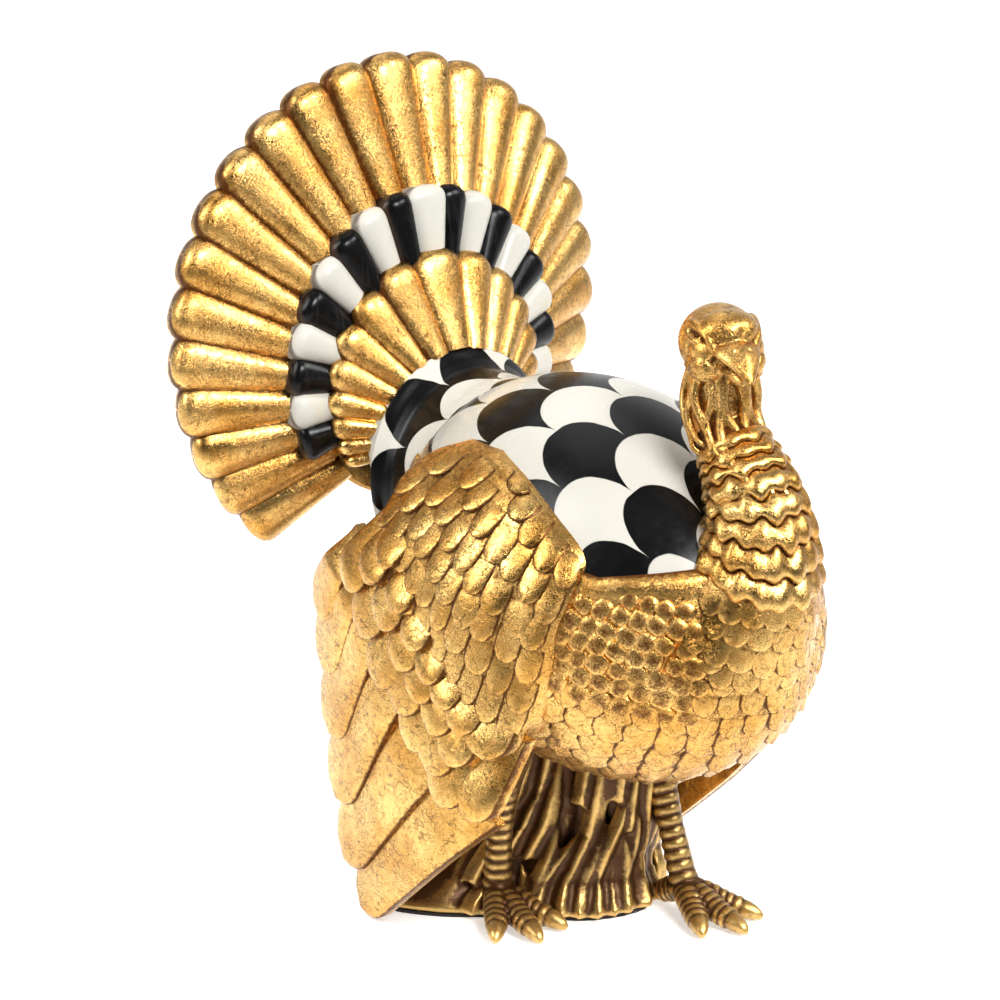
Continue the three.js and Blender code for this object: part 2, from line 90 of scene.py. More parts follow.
def body_outward(places):
    x, along, up = np.moveaxis(body_coordinates(places), -1, 0)
    halves = (BODY_HALF_WIDTH, body_reach(along), BODY_HALF_DEPTH)
    slope = np.stack([c / h**2 for c, h in zip((x, along, up), halves)], -1)
    return unit(turned_up(slope))


def body_half_width(y, z):
    places = np.stack(np.broadcast_arrays(0 * y, y, z), -1)
    _, along, up = np.moveaxis(body_coordinates(places), -1, 0)
    spare = 1 - (along / body_reach(along)) ** 2 - (up / BODY_HALF_DEPTH) ** 2
    return BODY_HALF_WIDTH * np.sqrt(np.maximum(0, spare))


SADDLE_CORNER = in_body(0, SADDLE_FRONT, SADDLE_SEAM)
SADDLE_PLANES = [turned_up((0, 0, 1)), turned_up((0, SADDLE_RISE[1], -SADDLE_RISE[0]))]
RUMP = in_body(0, BODY_REAR, 0)
BREAST = in_body(0, -BODY_FRONT, 0)


# Points and curves

def unit(vectors):
    return vectors / np.maximum(np.linalg.norm(vectors, axis=-1, keepdims=True), 1e-9)


def mix(first, second, share):
    return first + (second - first) * share


def turns(count):
    """Angles spread evenly over one full turn."""
    return 2 * np.pi * np.arange(count) / count


def ease(value):
    value = np.clip(value, 0, 1)
    return value * value * (3 - 2 * value)


def curve_through(stations, t):
    """Places at t, from 0 to 1, on a smooth run through rows of numbers."""
    s = np.asarray(stations, float)
    last = len(s) - 1
    x = np.clip(np.asarray(t, float), 0, 1) * last
    i = np.minimum(x.astype(int), last - 1)
    f = (x - i)[..., None]
    before, here = s[np.maximum(i - 1, 0)], s[i]
    there, after = s[i + 1], s[np.minimum(i + 2, last)]
    bend = 2 * before - 5 * here + 4 * there - after
    twist = 3 * here - before - 3 * there + after
    return 0.5 * (2 * here + (there - before) * f + bend * f**2 + twist * f**3)


# Closed shells: points, faces, and how deep each point lies in a groove, which the finishes darken
# partly as painted shade

def grid_faces(rows, columns, wrapped=False):
    across = columns if wrapped else columns - 1
    r, c = np.meshgrid(np.arange(rows - 1), np.arange(across), indexing="ij")
    a = r * columns + c
    b = r * columns + (c + 1) % columns
    return np.stack([a, b, b + columns, a + columns], -1).reshape(-1, 4)


def grid_rim(rows, columns):
    cells = np.arange(rows * columns).reshape(rows, columns)
    sides = [cells[0, :-1], cells[:-1, -1], cells[-1, :0:-1], cells[:0:-1, 0]]
    return np.concatenate(sides)


def closed_sheet(front, back, groove, edge_groove=1.0):
    """Shell between two grids of points of the same size."""
    rows, columns = front.shape[:2]
    count = rows * columns
    near = grid_faces(rows, columns)
    rim = grid_rim(rows, columns)
    ahead = np.roll(rim, -1)
    walls = np.stack([ahead, rim, rim + count, ahead + count], -1)
    faces = np.concatenate([near, near[:, ::-1] + count, walls]).tolist()
    points = np.concatenate([front.reshape(-1, 3), back.reshape(-1, 3)])
    grooves = np.broadcast_to(groove, (rows, columns)).ravel()
    # The back grid takes edge_groove, so the walls round the rim darken towards it: painted shade at the
    # edges.
    return points, faces, np.concatenate([grooves, np.full(count, edge_groove)])


def skin(rings, groove=0.0):
    """Shell over a run of rings, closed at both ends by a middle point."""
    rows, sides = rings.shape[:2]
    ends = np.stack([rings[0].mean(0), rings[-1].mean(0)])
    points = np.concatenate([rings.reshape(-1, 3), ends])
    faces = grid_faces(rows, sides, wrapped=True).tolist()
    first, last = rows * sides, rows * sides + 1
    for i in range(sides):
        j = (i + 1) % sides
        faces.append([first, j, i])
        faces.append([last, (rows - 1) * sides + i, (rows - 1) * sides + j])
    depth = np.broadcast_to(groove, (rows, sides))
    return points, faces, np.concatenate([depth.ravel(), [depth[0].mean(), depth[-1].mean()]])


def limb_rings(middles, radii, sides, reference, bulge=None):
    """Round rings square to a run of middles; bulge adds to the radius by ring and side."""
    middles = np.asarray(middles, float)
    run = unit(np.gradient(middles, axis=0))
    across = unit(np.cross(run, np.asarray(reference, float)))
    upward = np.cross(across, run)
    turn = turns(sides)
    out = across[:, None] * np.cos(turn)[:, None] + upward[:, None] * np.sin(turn)[:, None]
    size = np.broadcast_to(np.asarray(radii, float)[:, None], (len(middles), sides))
    if bulge is not None:
        size = size + bulge
    return middles[:, None] + out * size[..., None]


def ball(centre, halves, groove=0.0, rounds=28, stacks=18):
    polar = np.pi * (np.arange(stacks) + 0.5) / stacks
    turn = turns(rounds)
    rings = np.stack(
        np.broadcast_arrays(
            np.sin(polar)[:, None] * np.cos(turn),
            np.sin(polar)[:, None] * np.sin(turn),
            np.cos(polar)[:, None],
        ),
        -1,
    )
    return skin(rings * np.asarray(halves, float) + np.asarray(centre, float), groove)


# Mesh objects

def linked(name, mesh):
    made = bpy.data.objects.new(name, mesh)
    bpy.context.scene.collection.objects.link(made)
    return made


def set_attribute(mesh, label, values):
    values = np.asarray(values, np.float32)
    kind, field = ("FLOAT_VECTOR", "vector") if values.ndim == 2 else ("FLOAT", "value")
    layer = mesh.attributes.new(label, kind, "POINT")
    layer.data.foreach_set(field, values.ravel())


def places_of(mesh):
    places = np.zeros(3 * len(mesh.vertices), np.float32)
    mesh.vertices.foreach_get("co", places)
    return places.reshape(-1, 3)


def form(name, shells):
    """One mesh object from closed shells, with every face turned outwards."""
    points, faces, depths, start = [], [], [], 0
    for shell_points, shell_faces, depth in shells:
        points.append(shell_points)
        depths.append(depth)
        faces.extend([[start + i for i in face] for face in shell_faces])
        start += len(shell_points)
    mesh = bpy.data.meshes.new(name)
    mesh.from_pydata((np.concatenate(points) * MM).tolist(), [], faces)
    set_attribute(mesh, "groove", np.concatenate(depths))
    turn_outwards(mesh)
    return linked(name, mesh)


def turn_outwards(mesh):
    work = bmesh.new()
    work.from_mesh(mesh)
    bmesh.ops.recalc_face_normals(work, faces=work.faces[:])
    work.to_mesh(mesh)
    work.free()


def settled(name, carrier):
    """The carrier's evaluated shape as a plain mesh object; the carrier goes."""
    graph = bpy.context.evaluated_depsgraph_get()
    mesh = bpy.data.meshes.new_from_object(
        carrier.evaluated_get(graph), preserve_all_data_layers=True, depsgraph=graph
    )
    bpy.data.objects.remove(carrier)
    mesh.name = name
    return linked(name, mesh)


def fused(name, shells, voxel, rounds, dents=(), flat=0.4):
    """Shells melted into one skin, as a casting is, then dented, with its hollows measured."""
    carrier = form(name + "_parts", shells)
    remesh = carrier.modifiers.new("melt", "REMESH")
    remesh.mode = "VOXEL"
    remesh.voxel_size = voxel * MM
    soften = carrier.modifiers.new("soften", "SMOOTH")
    soften.factor = 0.5
    soften.iterations = rounds
    made = settled(name, carrier)
    if "groove" in made.data.attributes:
        made.data.attributes.remove(made.data.attributes["groove"])
    press(made.data, dents)
    # The measured hollows darken the finish, partly as painted shade in the creases.
    set_attribute(made.data, "groove", hollows(made.data, voxel, flat))
    return made


def normals_of(mesh):
    normals = np.zeros(3 * len(mesh.vertices), np.float32)
    mesh.vertices.foreach_get("normal", normals)
    return normals.reshape(-1, 3)


def press(mesh, dents):
    """Pushes soft dents into a skin: the middle, radius and depth of each."""
    places = places_of(mesh) / MM
    normals = normals_of(mesh)
    for middle, radius, depth in dents:
        near = np.exp(-(((places - middle) / radius) ** 2).sum(1))
        places -= normals * (depth * near)[:, None]
    mesh.vertices.foreach_set("co", (places * MM).astype(np.float32).ravel())
    mesh.update()


def hollows(mesh, voxel, flat, rounds=14):
    """How deep each point lies: 0 on a crest, the value of flat between, 1 in a groove."""
    places = places_of(mesh) / MM
    edges = np.zeros(2 * len(mesh.edges), np.int32)
    mesh.edges.foreach_get("vertices", edges)
    a, b = edges.reshape(-1, 2).T
    shares = np.maximum(np.bincount(np.concatenate([a, b]), minlength=len(places)), 1)
    level = places.copy()
    for _ in range(rounds):
        total = np.zeros_like(level)
        np.add.at(total, a, level[b])
        np.add.at(total, b, level[a])
        level = total / shares[:, None]
    depth = ((level - places) * normals_of(mesh)).sum(1)
    return np.clip(flat + depth / (1.6 * voxel), 0, 1)


def finished(piece, finish, slot, *nodes, sharp=38):
    piece.data.materials.clear()
    piece.data.materials.append(finish)
    piece.data.polygons.foreach_set("use_smooth", np.ones(len(piece.data.polygons), bool))
    piece.data.set_sharp_from_angle(angle=math.radians(sharp))
    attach(piece, "root")
    if nodes:
        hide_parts(*nodes)
    return piece


# Node trees

def feed(tree, node, inputs):
    """Links sockets to a node's inputs, and sets plain values on them."""
    for key, value in inputs.items():
        if isinstance(value, bpy.types.NodeSocket):
            tree.links.new(value, node.inputs[key])
        else:
            node.inputs[key].default_value = value


def put(tree, kind, inputs=None, **settings):
    made = tree.nodes.new(kind)
    for key, value in settings.items():
        setattr(made, key, value)
    feed(tree, made, inputs or {})
    return made


def maths(tree, operation, first, second=0.0):
    return put(tree, "ShaderNodeMath", {0: first, 1: second}, operation=operation).outputs[0]


def times(tree, first, second):
    return maths(tree, "MULTIPLY", first, second)


def plus(tree, first, second):
    return maths(tree, "ADD", first, second)


def minus(tree, first, second):
    return maths(tree, "SUBTRACT", first, second)


def new_tree(name, sockets):
    tree = bpy.data.node_groups.new(name, "GeometryNodeTree")
    for label, kind in sockets:
        tree.interface.new_socket(label, in_out="INPUT", socket_type=kind)
    tree.interface.new_socket("Piece", in_out="OUTPUT", socket_type="NodeSocketGeometry")
    return tree, put(tree, "NodeGroupInput").outputs


def named(tree, label, kind="FLOAT_VECTOR"):
    made = put(tree, "GeometryNodeInputNamedAttribute", {"Name": label}, data_type=kind)
    return made.outputs["Attribute"]


def vector_math(tree, operation, first, second, output="Vector"):
    made = put(tree, "ShaderNodeVectorMath", {0: first, 1: second}, operation=operation)
    return made.outputs[output]


def close_tree(tree, copies, given):
    """Joins copies to the ground that carries them, and gives both the finish."""
    ground = put(tree, "GeometryNodeObjectInfo", {"Object": given["Ground"]}).outputs["Geometry"]
    whole = put(tree, "GeometryNodeJoinGeometry")
    tree.links.new(copies, whole.inputs[0])
    tree.links.new(ground, whole.inputs[0])
    inputs = {"Geometry": whole.outputs[0], "Material": given["Finish"]}
    coated = put(tree, "GeometryNodeSetMaterial", inputs)
    put(tree, "NodeGroupOutput", {"Piece": coated.outputs["Geometry"]})


def copies_at_places(tree, given):
    """Copies turned so that their Y follows facing and their Z follows outward."""
    axes = {"Primary Axis": named(tree, "outward"), "Secondary Axis": named(tree, "facing")}
    turn = put(tree, "FunctionNodeAxesToRotation", axes, primary_axis="Z", secondary_axis="Y")
    scales = {"X": given["Width"], "Y": given["Length"], "Z": given["Rise"]}
    spread = put(tree, "ShaderNodeCombineXYZ", scales)
    copy = put(tree, "GeometryNodeObjectInfo", {"Object": given["Copy"]})
    placed = put(
        tree,
        "GeometryNodeInstanceOnPoints",
        {
            "Points": given["Places"],
            "Instance": copy.outputs["Geometry"],
            "Rotation": turn.outputs["Rotation"],
            "Scale": vector_math(tree, "MULTIPLY", named(tree, "size"), spread.outputs["Vector"]),
        },
    )
    placed = placed.outputs["Instances"]
    return put(tree, "GeometryNodeRealizeInstances", {"Geometry": placed}).outputs[0]


COPY_SOCKETS = [
    ("Places", "NodeSocketGeometry"),
    ("Copy", "NodeSocketObject"),
    ("Ground", "NodeSocketObject"),
    ("Width", "NodeSocketFloat"),
    ("Length", "NodeSocketFloat"),
    ("Rise", "NodeSocketFloat"),
    ("Finish", "NodeSocketMaterial"),
]


def standing_copies_tree():
    tree, given = new_tree("standing_copies", COPY_SOCKETS)
    close_tree(tree, copies_at_places(tree, given), given)
    return tree


def laid_copies_tree():
    """Copies bent to a form: each point goes to the nearest place on it, plus its own rise."""
    tree, given = new_tree("laid_copies", COPY_SOCKETS + [("Form", "NodeSocketObject")])
    copies = copies_at_places(tree, given)
    surface = put(tree, "GeometryNodeObjectInfo", {"Object": given["Form"]}).outputs["Geometry"]
    spot = put(tree, "GeometryNodeInputPosition").outputs["Position"]

    def nearest(value):
        inputs = {"Mesh": surface, "Sample Position": spot}
        sampled = put(tree, "GeometryNodeSampleNearestSurface", inputs, data_type="FLOAT_VECTOR")
        tree.links.new(value, sampled.inputs["Value"])
        return sampled.outputs["Value"]

    height = times(tree, named(tree, "rise", "FLOAT"), given["Rise"])
    stature = put(tree, "ShaderNodeSeparateXYZ", {"Vector": named(tree, "size")}).outputs["Z"]
    inputs = {0: nearest(named(tree, "outward")), "Scale": times(tree, height, stature)}
    lift = put(tree, "ShaderNodeVectorMath", inputs, operation="SCALE")
    place = vector_math(tree, "ADD", nearest(spot), lift.outputs["Vector"])
    bent = put(tree, "GeometryNodeSetPosition", {"Geometry": copies, "Position": place})
    close_tree(tree, bent.outputs["Geometry"], given)
    return tree


STANDING_COPIES = standing_copies_tree()
LAID_COPIES = laid_copies_tree()


def place_cloud(name, places, facing, outward, size, **extra):
    """Points that carry copies: where each stands, how it is turned and how large it is."""
    mesh = bpy.data.meshes.new(name)
    mesh.from_pydata((np.asarray(places) * MM).tolist(), [], [])
    for label, values in {"facing": facing, "outward": outward, "size": size, **extra}.items():
        set_attribute(mesh, label, values)
    return linked(name, mesh)


def grown(name, tree, cloud, **inputs):
    """A piece grown by a tree on a cloud of places. The helpers are removed after."""
    modifier = cloud.modifiers.new("grow", "NODES")
    modifier.node_group = tree
    identifiers = {i.name: i.identifier for i in tree.interface.items_tree if i.in_out == "INPUT"}
    for label, value in inputs.items():
        modifier[identifiers[label]] = value
    bpy.context.view_layer.update()
    made = settled(name, cloud)
    for helper in inputs.values():
        if isinstance(helper, bpy.types.Object):
            bpy.data.objects.remove(helper)
    return made


def laid(name, ground, copy, surface, rows):
    """The ground with feathers laid along a surface; rows are as place_cloud takes them."""
    return grown(
        name,
        LAID_COPIES,
        place_cloud(name + "_places", *rows),
        Copy=copy,
        Ground=ground,
        Form=linked(name + "_form", surface),
        Width=MM,
        Length=MM,
        Rise=MM,
        Finish=GOLD,
    )


# Finishes

def new_finish(name):
    material = bpy.data.materials.new(name)
    material.use_nodes = True
    tree = material.node_tree
    return material, tree, tree.nodes["Principled BSDF"]


def object_place(tree):
    return put(tree, "ShaderNodeTexCoord").outputs["Object"]


def attribute(tree, label):
    return put(tree, "ShaderNodeAttribute", attribute_name=label).outputs["Fac"]


def noise(tree, place, scale, detail=3.0, rough=0.55):
    inputs = {"Vector": place, "Scale": scale, "Detail": detail, "Roughness": rough}
    return put(tree, "ShaderNodeTexNoise", inputs).outputs["Fac"]


def stretched(tree, place, scale, turn=(0, 0, 0)):
    inputs = {"Vector": place, "Rotation": turn, "Scale": scale}
    return put(tree, "ShaderNodeMapping", inputs).outputs["Vector"]


def fit(tree, value, low, high, to_low=0.0, to_high=1.0):
    """The value moved from one range to another, and kept inside it."""
    inputs = {"Value": value, "From Min": low, "From Max": high, "To Min": to_low, "To Max": to_high}
    return put(tree, "ShaderNodeMapRange", inputs).outputs["Result"]


def tint(tree, share, first, second):
    """Two colours mixed by share; a colour is a socket or three numbers."""
    first, second = [(*c, 1) if isinstance(c, tuple) else c for c in (first, second)]
    made = put(tree, "ShaderNodeMix", data_type="RGBA")
    feed(tree, made, {0: share, 6: first, 7: second})
    return made.outputs[2]


def bumped(tree, shader, height, strength, depth):
    inputs = {"Height": height, "Strength": strength, "Distance": depth * MM}
    tree.links.new(put(tree, "ShaderNodeBump", inputs).outputs["Normal"], shader.inputs["Normal"])


def coat(tree, shader, **sockets):
    feed(tree, shader, {label.replace("_", " "): value for label, value in sockets.items()})


def varnished(tree, shader, roughness):
    coat(tree, shader, Specular_IOR_Level=0.14, Coat_Weight=0.08, Coat_Roughness=roughness)


def hair_lines(tree, place, scale, turn):
    """Broken hair-fine scratches: thin level lines of a stretched noise, 1 on a line."""
    field = noise(tree, stretched(tree, place, (1, 0.3, 0.6), turn), scale, 2, 0.5)
    line = fit(tree, maths(tree, "ABSOLUTE", minus(tree, field, 0.5)), 0, 0.02, 1, 0)
    patch = fit(tree, noise(tree, place, 0.6 * scale, 3), 0.44, 0.56)
    return times(tree, line, patch)


def gold_leaf():
    material, tree, shader = new_finish("gold_leaf")
    place = object_place(tree)
    groove = attribute(tree, "groove")
    sheets = noise(tree, place, 40, 3)
    flakes = noise(tree, place, 330, 5, 0.7)
    specks = noise(tree, place, 1700, 3, 0.7)
    long_hairs = hair_lines(tree, place, 190, (0.4, 0.9, 0.2))
    short_hairs = hair_lines(tree, place, 260, (1.2, -0.5, 0.8))
    hairs = maths(tree, "MAXIMUM", long_hairs, short_hairs)
    rubbed = fit(tree, noise(tree, place, 30, 4, 0.6), 0.4, 0.62, 0.25, 1)
    leaf = tint(tree, fit(tree, sheets, 0.35, 0.65), (0.70, 0.365, 0.08), (0.88, 0.56, 0.185))
    leaf = tint(tree, fit(tree, flakes, 0.48, 0.7, 0, 0.7), leaf, (0.40, 0.165, 0.035))
    pitted = times(tree, fit(tree, specks, 0.5, 0.64, 0, 0.95), rubbed)
    leaf = tint(tree, pitted, leaf, (0.10, 0.036, 0.008))
    grain = plus(tree, flakes, times(tree, specks, 1.2))
    # Deep grooves and dark grain turn the leaf a dark bole brown: partly bole showing in the hollows,
    # partly painted shade in creases, between feathers and under their tips.
    wear_and_shade = plus(tree, groove, times(tree, minus(tree, grain, 1.1), 0.9))
    bole_and_shade = fit(tree, wear_and_shade, 0.45, 0.85, 0, 0.96)
    coloured = tint(tree, bole_and_shade, leaf, (0.09, 0.026, 0.004))
    coloured = tint(tree, times(tree, hairs, 0.75), coloured, (0.10, 0.045, 0.012))
    metal = fit(tree, bole_and_shade, 0, 1, 1, 0.9)
    rough = plus(tree, fit(tree, flakes, 0.3, 0.7, 0.17, 0.33), times(tree, bole_and_shade, 0.2))
    coat(tree, shader, Base_Color=coloured, Metallic=metal, Roughness=rough)
    coat(tree, shader, Coat_Weight=0.06, Coat_Roughness=0.25)
    relief = plus(tree, times(tree, flakes, 0.6), times(tree, pitted, -0.5))
    relief = minus(tree, relief, times(tree, hairs, 0.4))
    bumped(tree, shader, relief, 0.42, 0.45)
    return material


def antique_bronze():
    material, tree, shader = new_finish("antique_bronze")
    place = object_place(tree)
    groove = attribute(tree, "groove")
    patches = noise(tree, place, 90, 4)
    flakes = noise(tree, place, 600, 4, 0.65)
    # Hollows go dark brown and crests take a rubbed gold: partly the antiqued finish, partly painted
    # shade in the hollows and painted highlight on the crests.
    shifted = plus(tree, groove, times(tree, minus(tree, flakes, 0.5), 0.5))
    dark = fit(tree, shifted, 0.04, 0.4)
    brown = tint(tree, patches, (0.12, 0.05, 0.013), (0.05, 0.02, 0.006))
    rubbed = tint(tree, patches, (0.78, 0.53, 0.19), (0.52, 0.31, 0.09))
    coat(
        tree,
        shader,
        Base_Color=tint(tree, dark, rubbed, brown),
        Metallic=fit(tree, dark, 0, 1, 0.92, 0.6),
        Roughness=fit(tree, flakes, 0.3, 0.7, 0.28, 0.46),
    )
    bumped(tree, shader, flakes, 0.5, 0.35)
    return material


IVORY = (0.5, 0.487, 0.437)
BUFF = (0.58, 0.45, 0.22)
BLACK = (0.003, 0.003, 0.003)
GREY = (0.035, 0.035, 0.038)
SCALLOP_WIDTH = 42
SCALLOP_ROW = 27


def brushed_paint(tree, place, dark, streak_place):
    """Ivory with warm brush marks, and black with grey ones, mixed by dark."""
    warm = fit(tree, noise(tree, stretched(tree, streak_place, (1, 0.16, 1)), 60, 3), 0.56, 0.8, 0, 0.55)
    pale = tint(tree, warm, IVORY, BUFF)
    strokes = noise(tree, stretched(tree, streak_place, (6, 0.5, 1)), 90, 4, 0.7)
    cloud = noise(tree, place, 28, 2)
    thin = times(tree, fit(tree, strokes, 0.5, 0.8), fit(tree, cloud, 0.42, 0.68))
    inky = tint(tree, thin, BLACK, GREY)
    return tint(tree, dark, pale, inky)


def scalloped_paint():
    """Rows of round feather tips in black and ivory, laid out on the piece's own UV map."""
    material, tree, shader = new_finish("scalloped_paint")
    place = object_place(tree)
    chart = put(tree, "ShaderNodeUVMap", uv_map="laid").outputs["UV"]
    wobble = noise(tree, place, 45, 2)
    parts = put(tree, "ShaderNodeSeparateXYZ", {"Vector": chart}).outputs
    shake = times(tree, minus(tree, wobble, 0.5), 0.08)
    column = plus(tree, parts["X"], shake)
    level = plus(tree, parts["Y"], shake)
    row = maths(tree, "FLOOR", level)
    shifted = plus(tree, column, times(tree, row, 0.5))
    swing = minus(tree, times(tree, maths(tree, "FRACT", shifted), 2), 1)
    arc = maths(tree, "SQRT", minus(tree, 1.0, maths(tree, "POWER", swing, 2.0)))
    inside = minus(tree, arc, minus(tree, level, row))
    beyond = maths(tree, "LESS_THAN", inside, 0.0)
    parity = maths(tree, "PINGPONG", plus(tree, row, beyond), 1.0)
    outline = fit(tree, maths(tree, "ABSOLUTE", inside), 0.015, 0.035, 1, 0)
    dark = maths(tree, "MAXIMUM", parity, outline)
    coat(
        tree,
        shader,
        Base_Color=brushed_paint(tree, place, dark, chart),
        Roughness=fit(tree, noise(tree, place, 160, 3), 0.3, 0.7, 0.16, 0.3),
    )
    varnished(tree, shader, 0.12)
    bumped(tree, shader, noise(tree, stretched(tree, chart, (6, 0.6, 1)), 60, 3), 0.12, 0.3)
    return material


def striped_paint():
    """White and black feathers, told apart by the tone that each one carries."""
    material, tree, shader = new_finish("striped_paint")
    place = object_place(tree)
    tone = attribute(tree, "tone")
    groove = attribute(tree, "groove")
    streaks = stretched(tree, place, (1, 1, 0.3))
    paint = brushed_paint(tree, place, tone, streaks)
    # Painted shade: the paint goes dark brown where the groove is deep, at the feathers' sides and
    # roots.
    groove_shade = times(tree, fit(tree, groove, 0.55, 1), 0.8)
    coat(
        tree,
        shader,
        Base_Color=tint(tree, groove_shade, paint, (0.05, 0.03, 0.02)),
        Roughness=fit(tree, noise(tree, place, 160, 3), 0.3, 0.7, 0.2, 0.34),
    )
    varnished(tree, shader, 0.15)
    bumped(tree, shader, noise(tree, streaks, 220, 3), 0.25, 0.3)
    return material


def plain_finish(name, first, second, scale, rough, metal=0.0, grain=(1, 1, 1)):
    """Finish of an inner piece: two mixed tones and a fine relief."""
    material, tree, shader = new_finish(name)
    pattern = noise(tree, stretched(tree, object_place(tree), grain), scale, 5, 0.6)
    coat(
        tree,
        shader,
        Base_Color=tint(tree, fit(tree, pattern, 0.3, 0.7), first, second),
        Roughness=fit(tree, pattern, 0.3, 0.7, rough - 0.06, rough + 0.06),
        Metallic=metal,
    )
    bumped(tree, shader, pattern, 0.3, 0.3)
    return material


GOLD = gold_leaf()
BRONZE = antique_bronze()
SCALLOPED = scalloped_paint()
STRIPED = striped_paint()
FELT = plain_finish("felt", (0.016, 0.014, 0.013), (0.035, 0.031, 0.028), 900, 0.92)
STEEL = plain_finish("steel_rod", (0.36, 0.36, 0.36), (0.5, 0.5, 0.5), 300, 0.36, 1.0, (1, 1, 0.05))
WOOD = plain_finish("wood_dowel", (0.42, 0.25, 0.11), (0.62, 0.42, 0.21), 160, 0.66, 0.0, (1, 0.08, 0.2))
FOAM = plain_finish("resin_core", (0.6, 0.48, 0.24), (0.74, 0.62, 0.36), 400, 0.85)


# Feather copies

def scale_copy(name, root=0.85, shoulder=0.64, crown=0.38, line=0.42):
    """Flat unit feather with a round tip at +Y; its rise goes from below the form up to 1."""
    along = np.array([0, 0.32, 0.42, 0.5, 0.78, 0.92, 0.98, 0.999])
    across = np.array([-1, -0.92, -0.7, 0, 0.7, 0.92, 1])
    late = np.clip((along - shoulder) / (1 - shoulder), 0, 1)
    half = 0.5 * mix(root, 1, ease(along / shoulder)) * np.sqrt(1 - late**2)
    x = half[:, None] * across
    y = np.broadcast_to(along[:, None] - 0.6, x.shape)
    edge = np.maximum(np.abs(across)[None], late[:, None] ** 2)
    slope = np.clip((along - 0.3) / 0.7, -0.4, 1)[:, None]
    rise = slope * (1 - crown * across**2 - 0.15 * ease((edge - 0.9) / 0.1))
    # Painted shadow: a dark band across the root where the feather above lies over it, and painted shade
    # along the edges.
    root_shadow = 0.6 * (1 - ease((along - line) / 0.08))
    groove = np.maximum(root_shadow[:, None], 0.95 * ease((edge - 0.8) / 0.12))
    return unit_copy(name, x, y, rise, groove)


def pillow_copy(name):
    """Flat unit square with round corners and a full dome."""
    share = np.sin(np.linspace(-np.pi / 2, np.pi / 2, 7))
    u, v = np.meshgrid(share, share)
    x = 0.5 * u * np.sqrt(1 - 0.35 * v**2)
    y = 0.5 * v * np.sqrt(1 - 0.35 * u**2)
    rise = np.sqrt((1 - u**4) * (1 - v**4))
    # The groove is deepest on top of the dome, which paints a dark reflection at each pillow's middle.
    return unit_copy(name, x, y, rise, 0.8 * rise**3)


def unit_copy(name, x, y, rise, groove):
    """Sheet of unit size closed by one point under its middle. Heights are kept as rise."""
    rim = grid_rim(*x.shape)
    under = np.full(len(rim), x.size)
    fan = np.stack([np.roll(rim, -1), rim, under], -1)
    points = np.stack([x, y, rise], -1).reshape(-1, 3)
    points = np.concatenate([points, [[0, 0, -0.8]]])
    faces = grid_faces(*x.shape).tolist() + fan.tolist()
    # The point under the middle has a groove of 1: painted shade on the underside, seen under the tip.
    made = form(name, [(points / MM, faces, np.append(groove, 1))])
    set_attribute(made.data, "rise", points[:, 2])
    return made


def tail_copy(name, length, tip_width, root_share, dome, back):
    """One tail feather standing along +Y from its root, domed to +Z, in real sizes."""
    cap = 0.42 * tip_width / length
    tip = 1 - cap + cap * np.sin(np.linspace(0.2, 1.55, 9))
    along = np.concatenate([np.linspace(0, 1 - cap, 8), tip])
    across = np.sin(np.linspace(-np.pi / 2, np.pi / 2, 17))
    late = np.clip((along - 1 + cap) / cap, 0, 1)
    half = 0.5 * tip_width * mix(root_share, 1, np.minimum(1, along / (1 - cap)))
    half = half * (1 - late**2.4) ** (1 / 2.4)
    x = half[:, None] * across
    y = np.broadcast_to(length * along[:, None], x.shape)
    fall = (1 - 0.95 * late**3)[:, None] ** 0.5
    front = dome * (1 - np.abs(across) ** 2.4) ** 0.7 * fall
    # Painted shade: darker towards the sides, in the V between feathers, and at the root.
    groove = ease((np.abs(across) - 0.66) / 0.3) + 0.55 * (1 - ease(along / 0.3))[:, None]
    near = np.stack([x, y, front], -1)
    far = np.stack([x, y, np.full_like(x, -back)], -1)
    return form(name, [closed_sheet(near, far, np.clip(groove, 0, 1), 0.3)])


# Body: gilded shell with shingled feathers, and the painted back

def egg_shell():
    sides = 128
    polar = np.linspace(0, np.pi, 96)[1:-1]
    turn = turns(sides)
    along = -np.cos(polar)
    along = body_reach(along) * along
    ring = np.sin(polar)[:, None]
    places = in_body(
        BODY_HALF_WIDTH * ring * np.cos(turn),
        np.broadcast_to(along[:, None], (len(along), sides)),
        BODY_HALF_DEPTH * ring * np.sin(turn),
    )
    points, faces, groove = skin(places)
    points[-2], points[-1] = BREAST, RUMP
    return points, faces, groove


def egg():
    """Skin of the body cut along the saddle's edges."""
    points, faces, _ = egg_shell()
    mesh = bpy.data.meshes.new("egg")
    mesh.from_pydata(points.tolist(), [], faces)
    work = bmesh.new()
    work.from_mesh(mesh)
    bmesh.ops.recalc_face_normals(work, faces=work.faces[:])
    corner = SADDLE_CORNER.tolist()
    for facing in SADDLE_PLANES:
        everything = work.verts[:] + work.edges[:] + work.faces[:]
        bmesh.ops.bisect_plane(work, geom=everything, plane_co=corner, plane_no=facing.tolist())
    work.to_mesh(mesh)
    work.free()
    return mesh


def into_saddle(place):
    """Distance of a place inside the saddle's two planes; negative outside."""
    return min((place - SADDLE_CORNER) @ facing for facing in SADDLE_PLANES)


def rim_roll(place):
    """Rolled edge of the gilded shell beside the painted back; it dies out under the wings."""
    roll = math.exp(-(((into_saddle(place) + RIM_INSET) / RIM_HALF_WIDTH) ** 2))
    return RIM_HEIGHT * roll * (1 - ease((place[1] + 40) / 20))


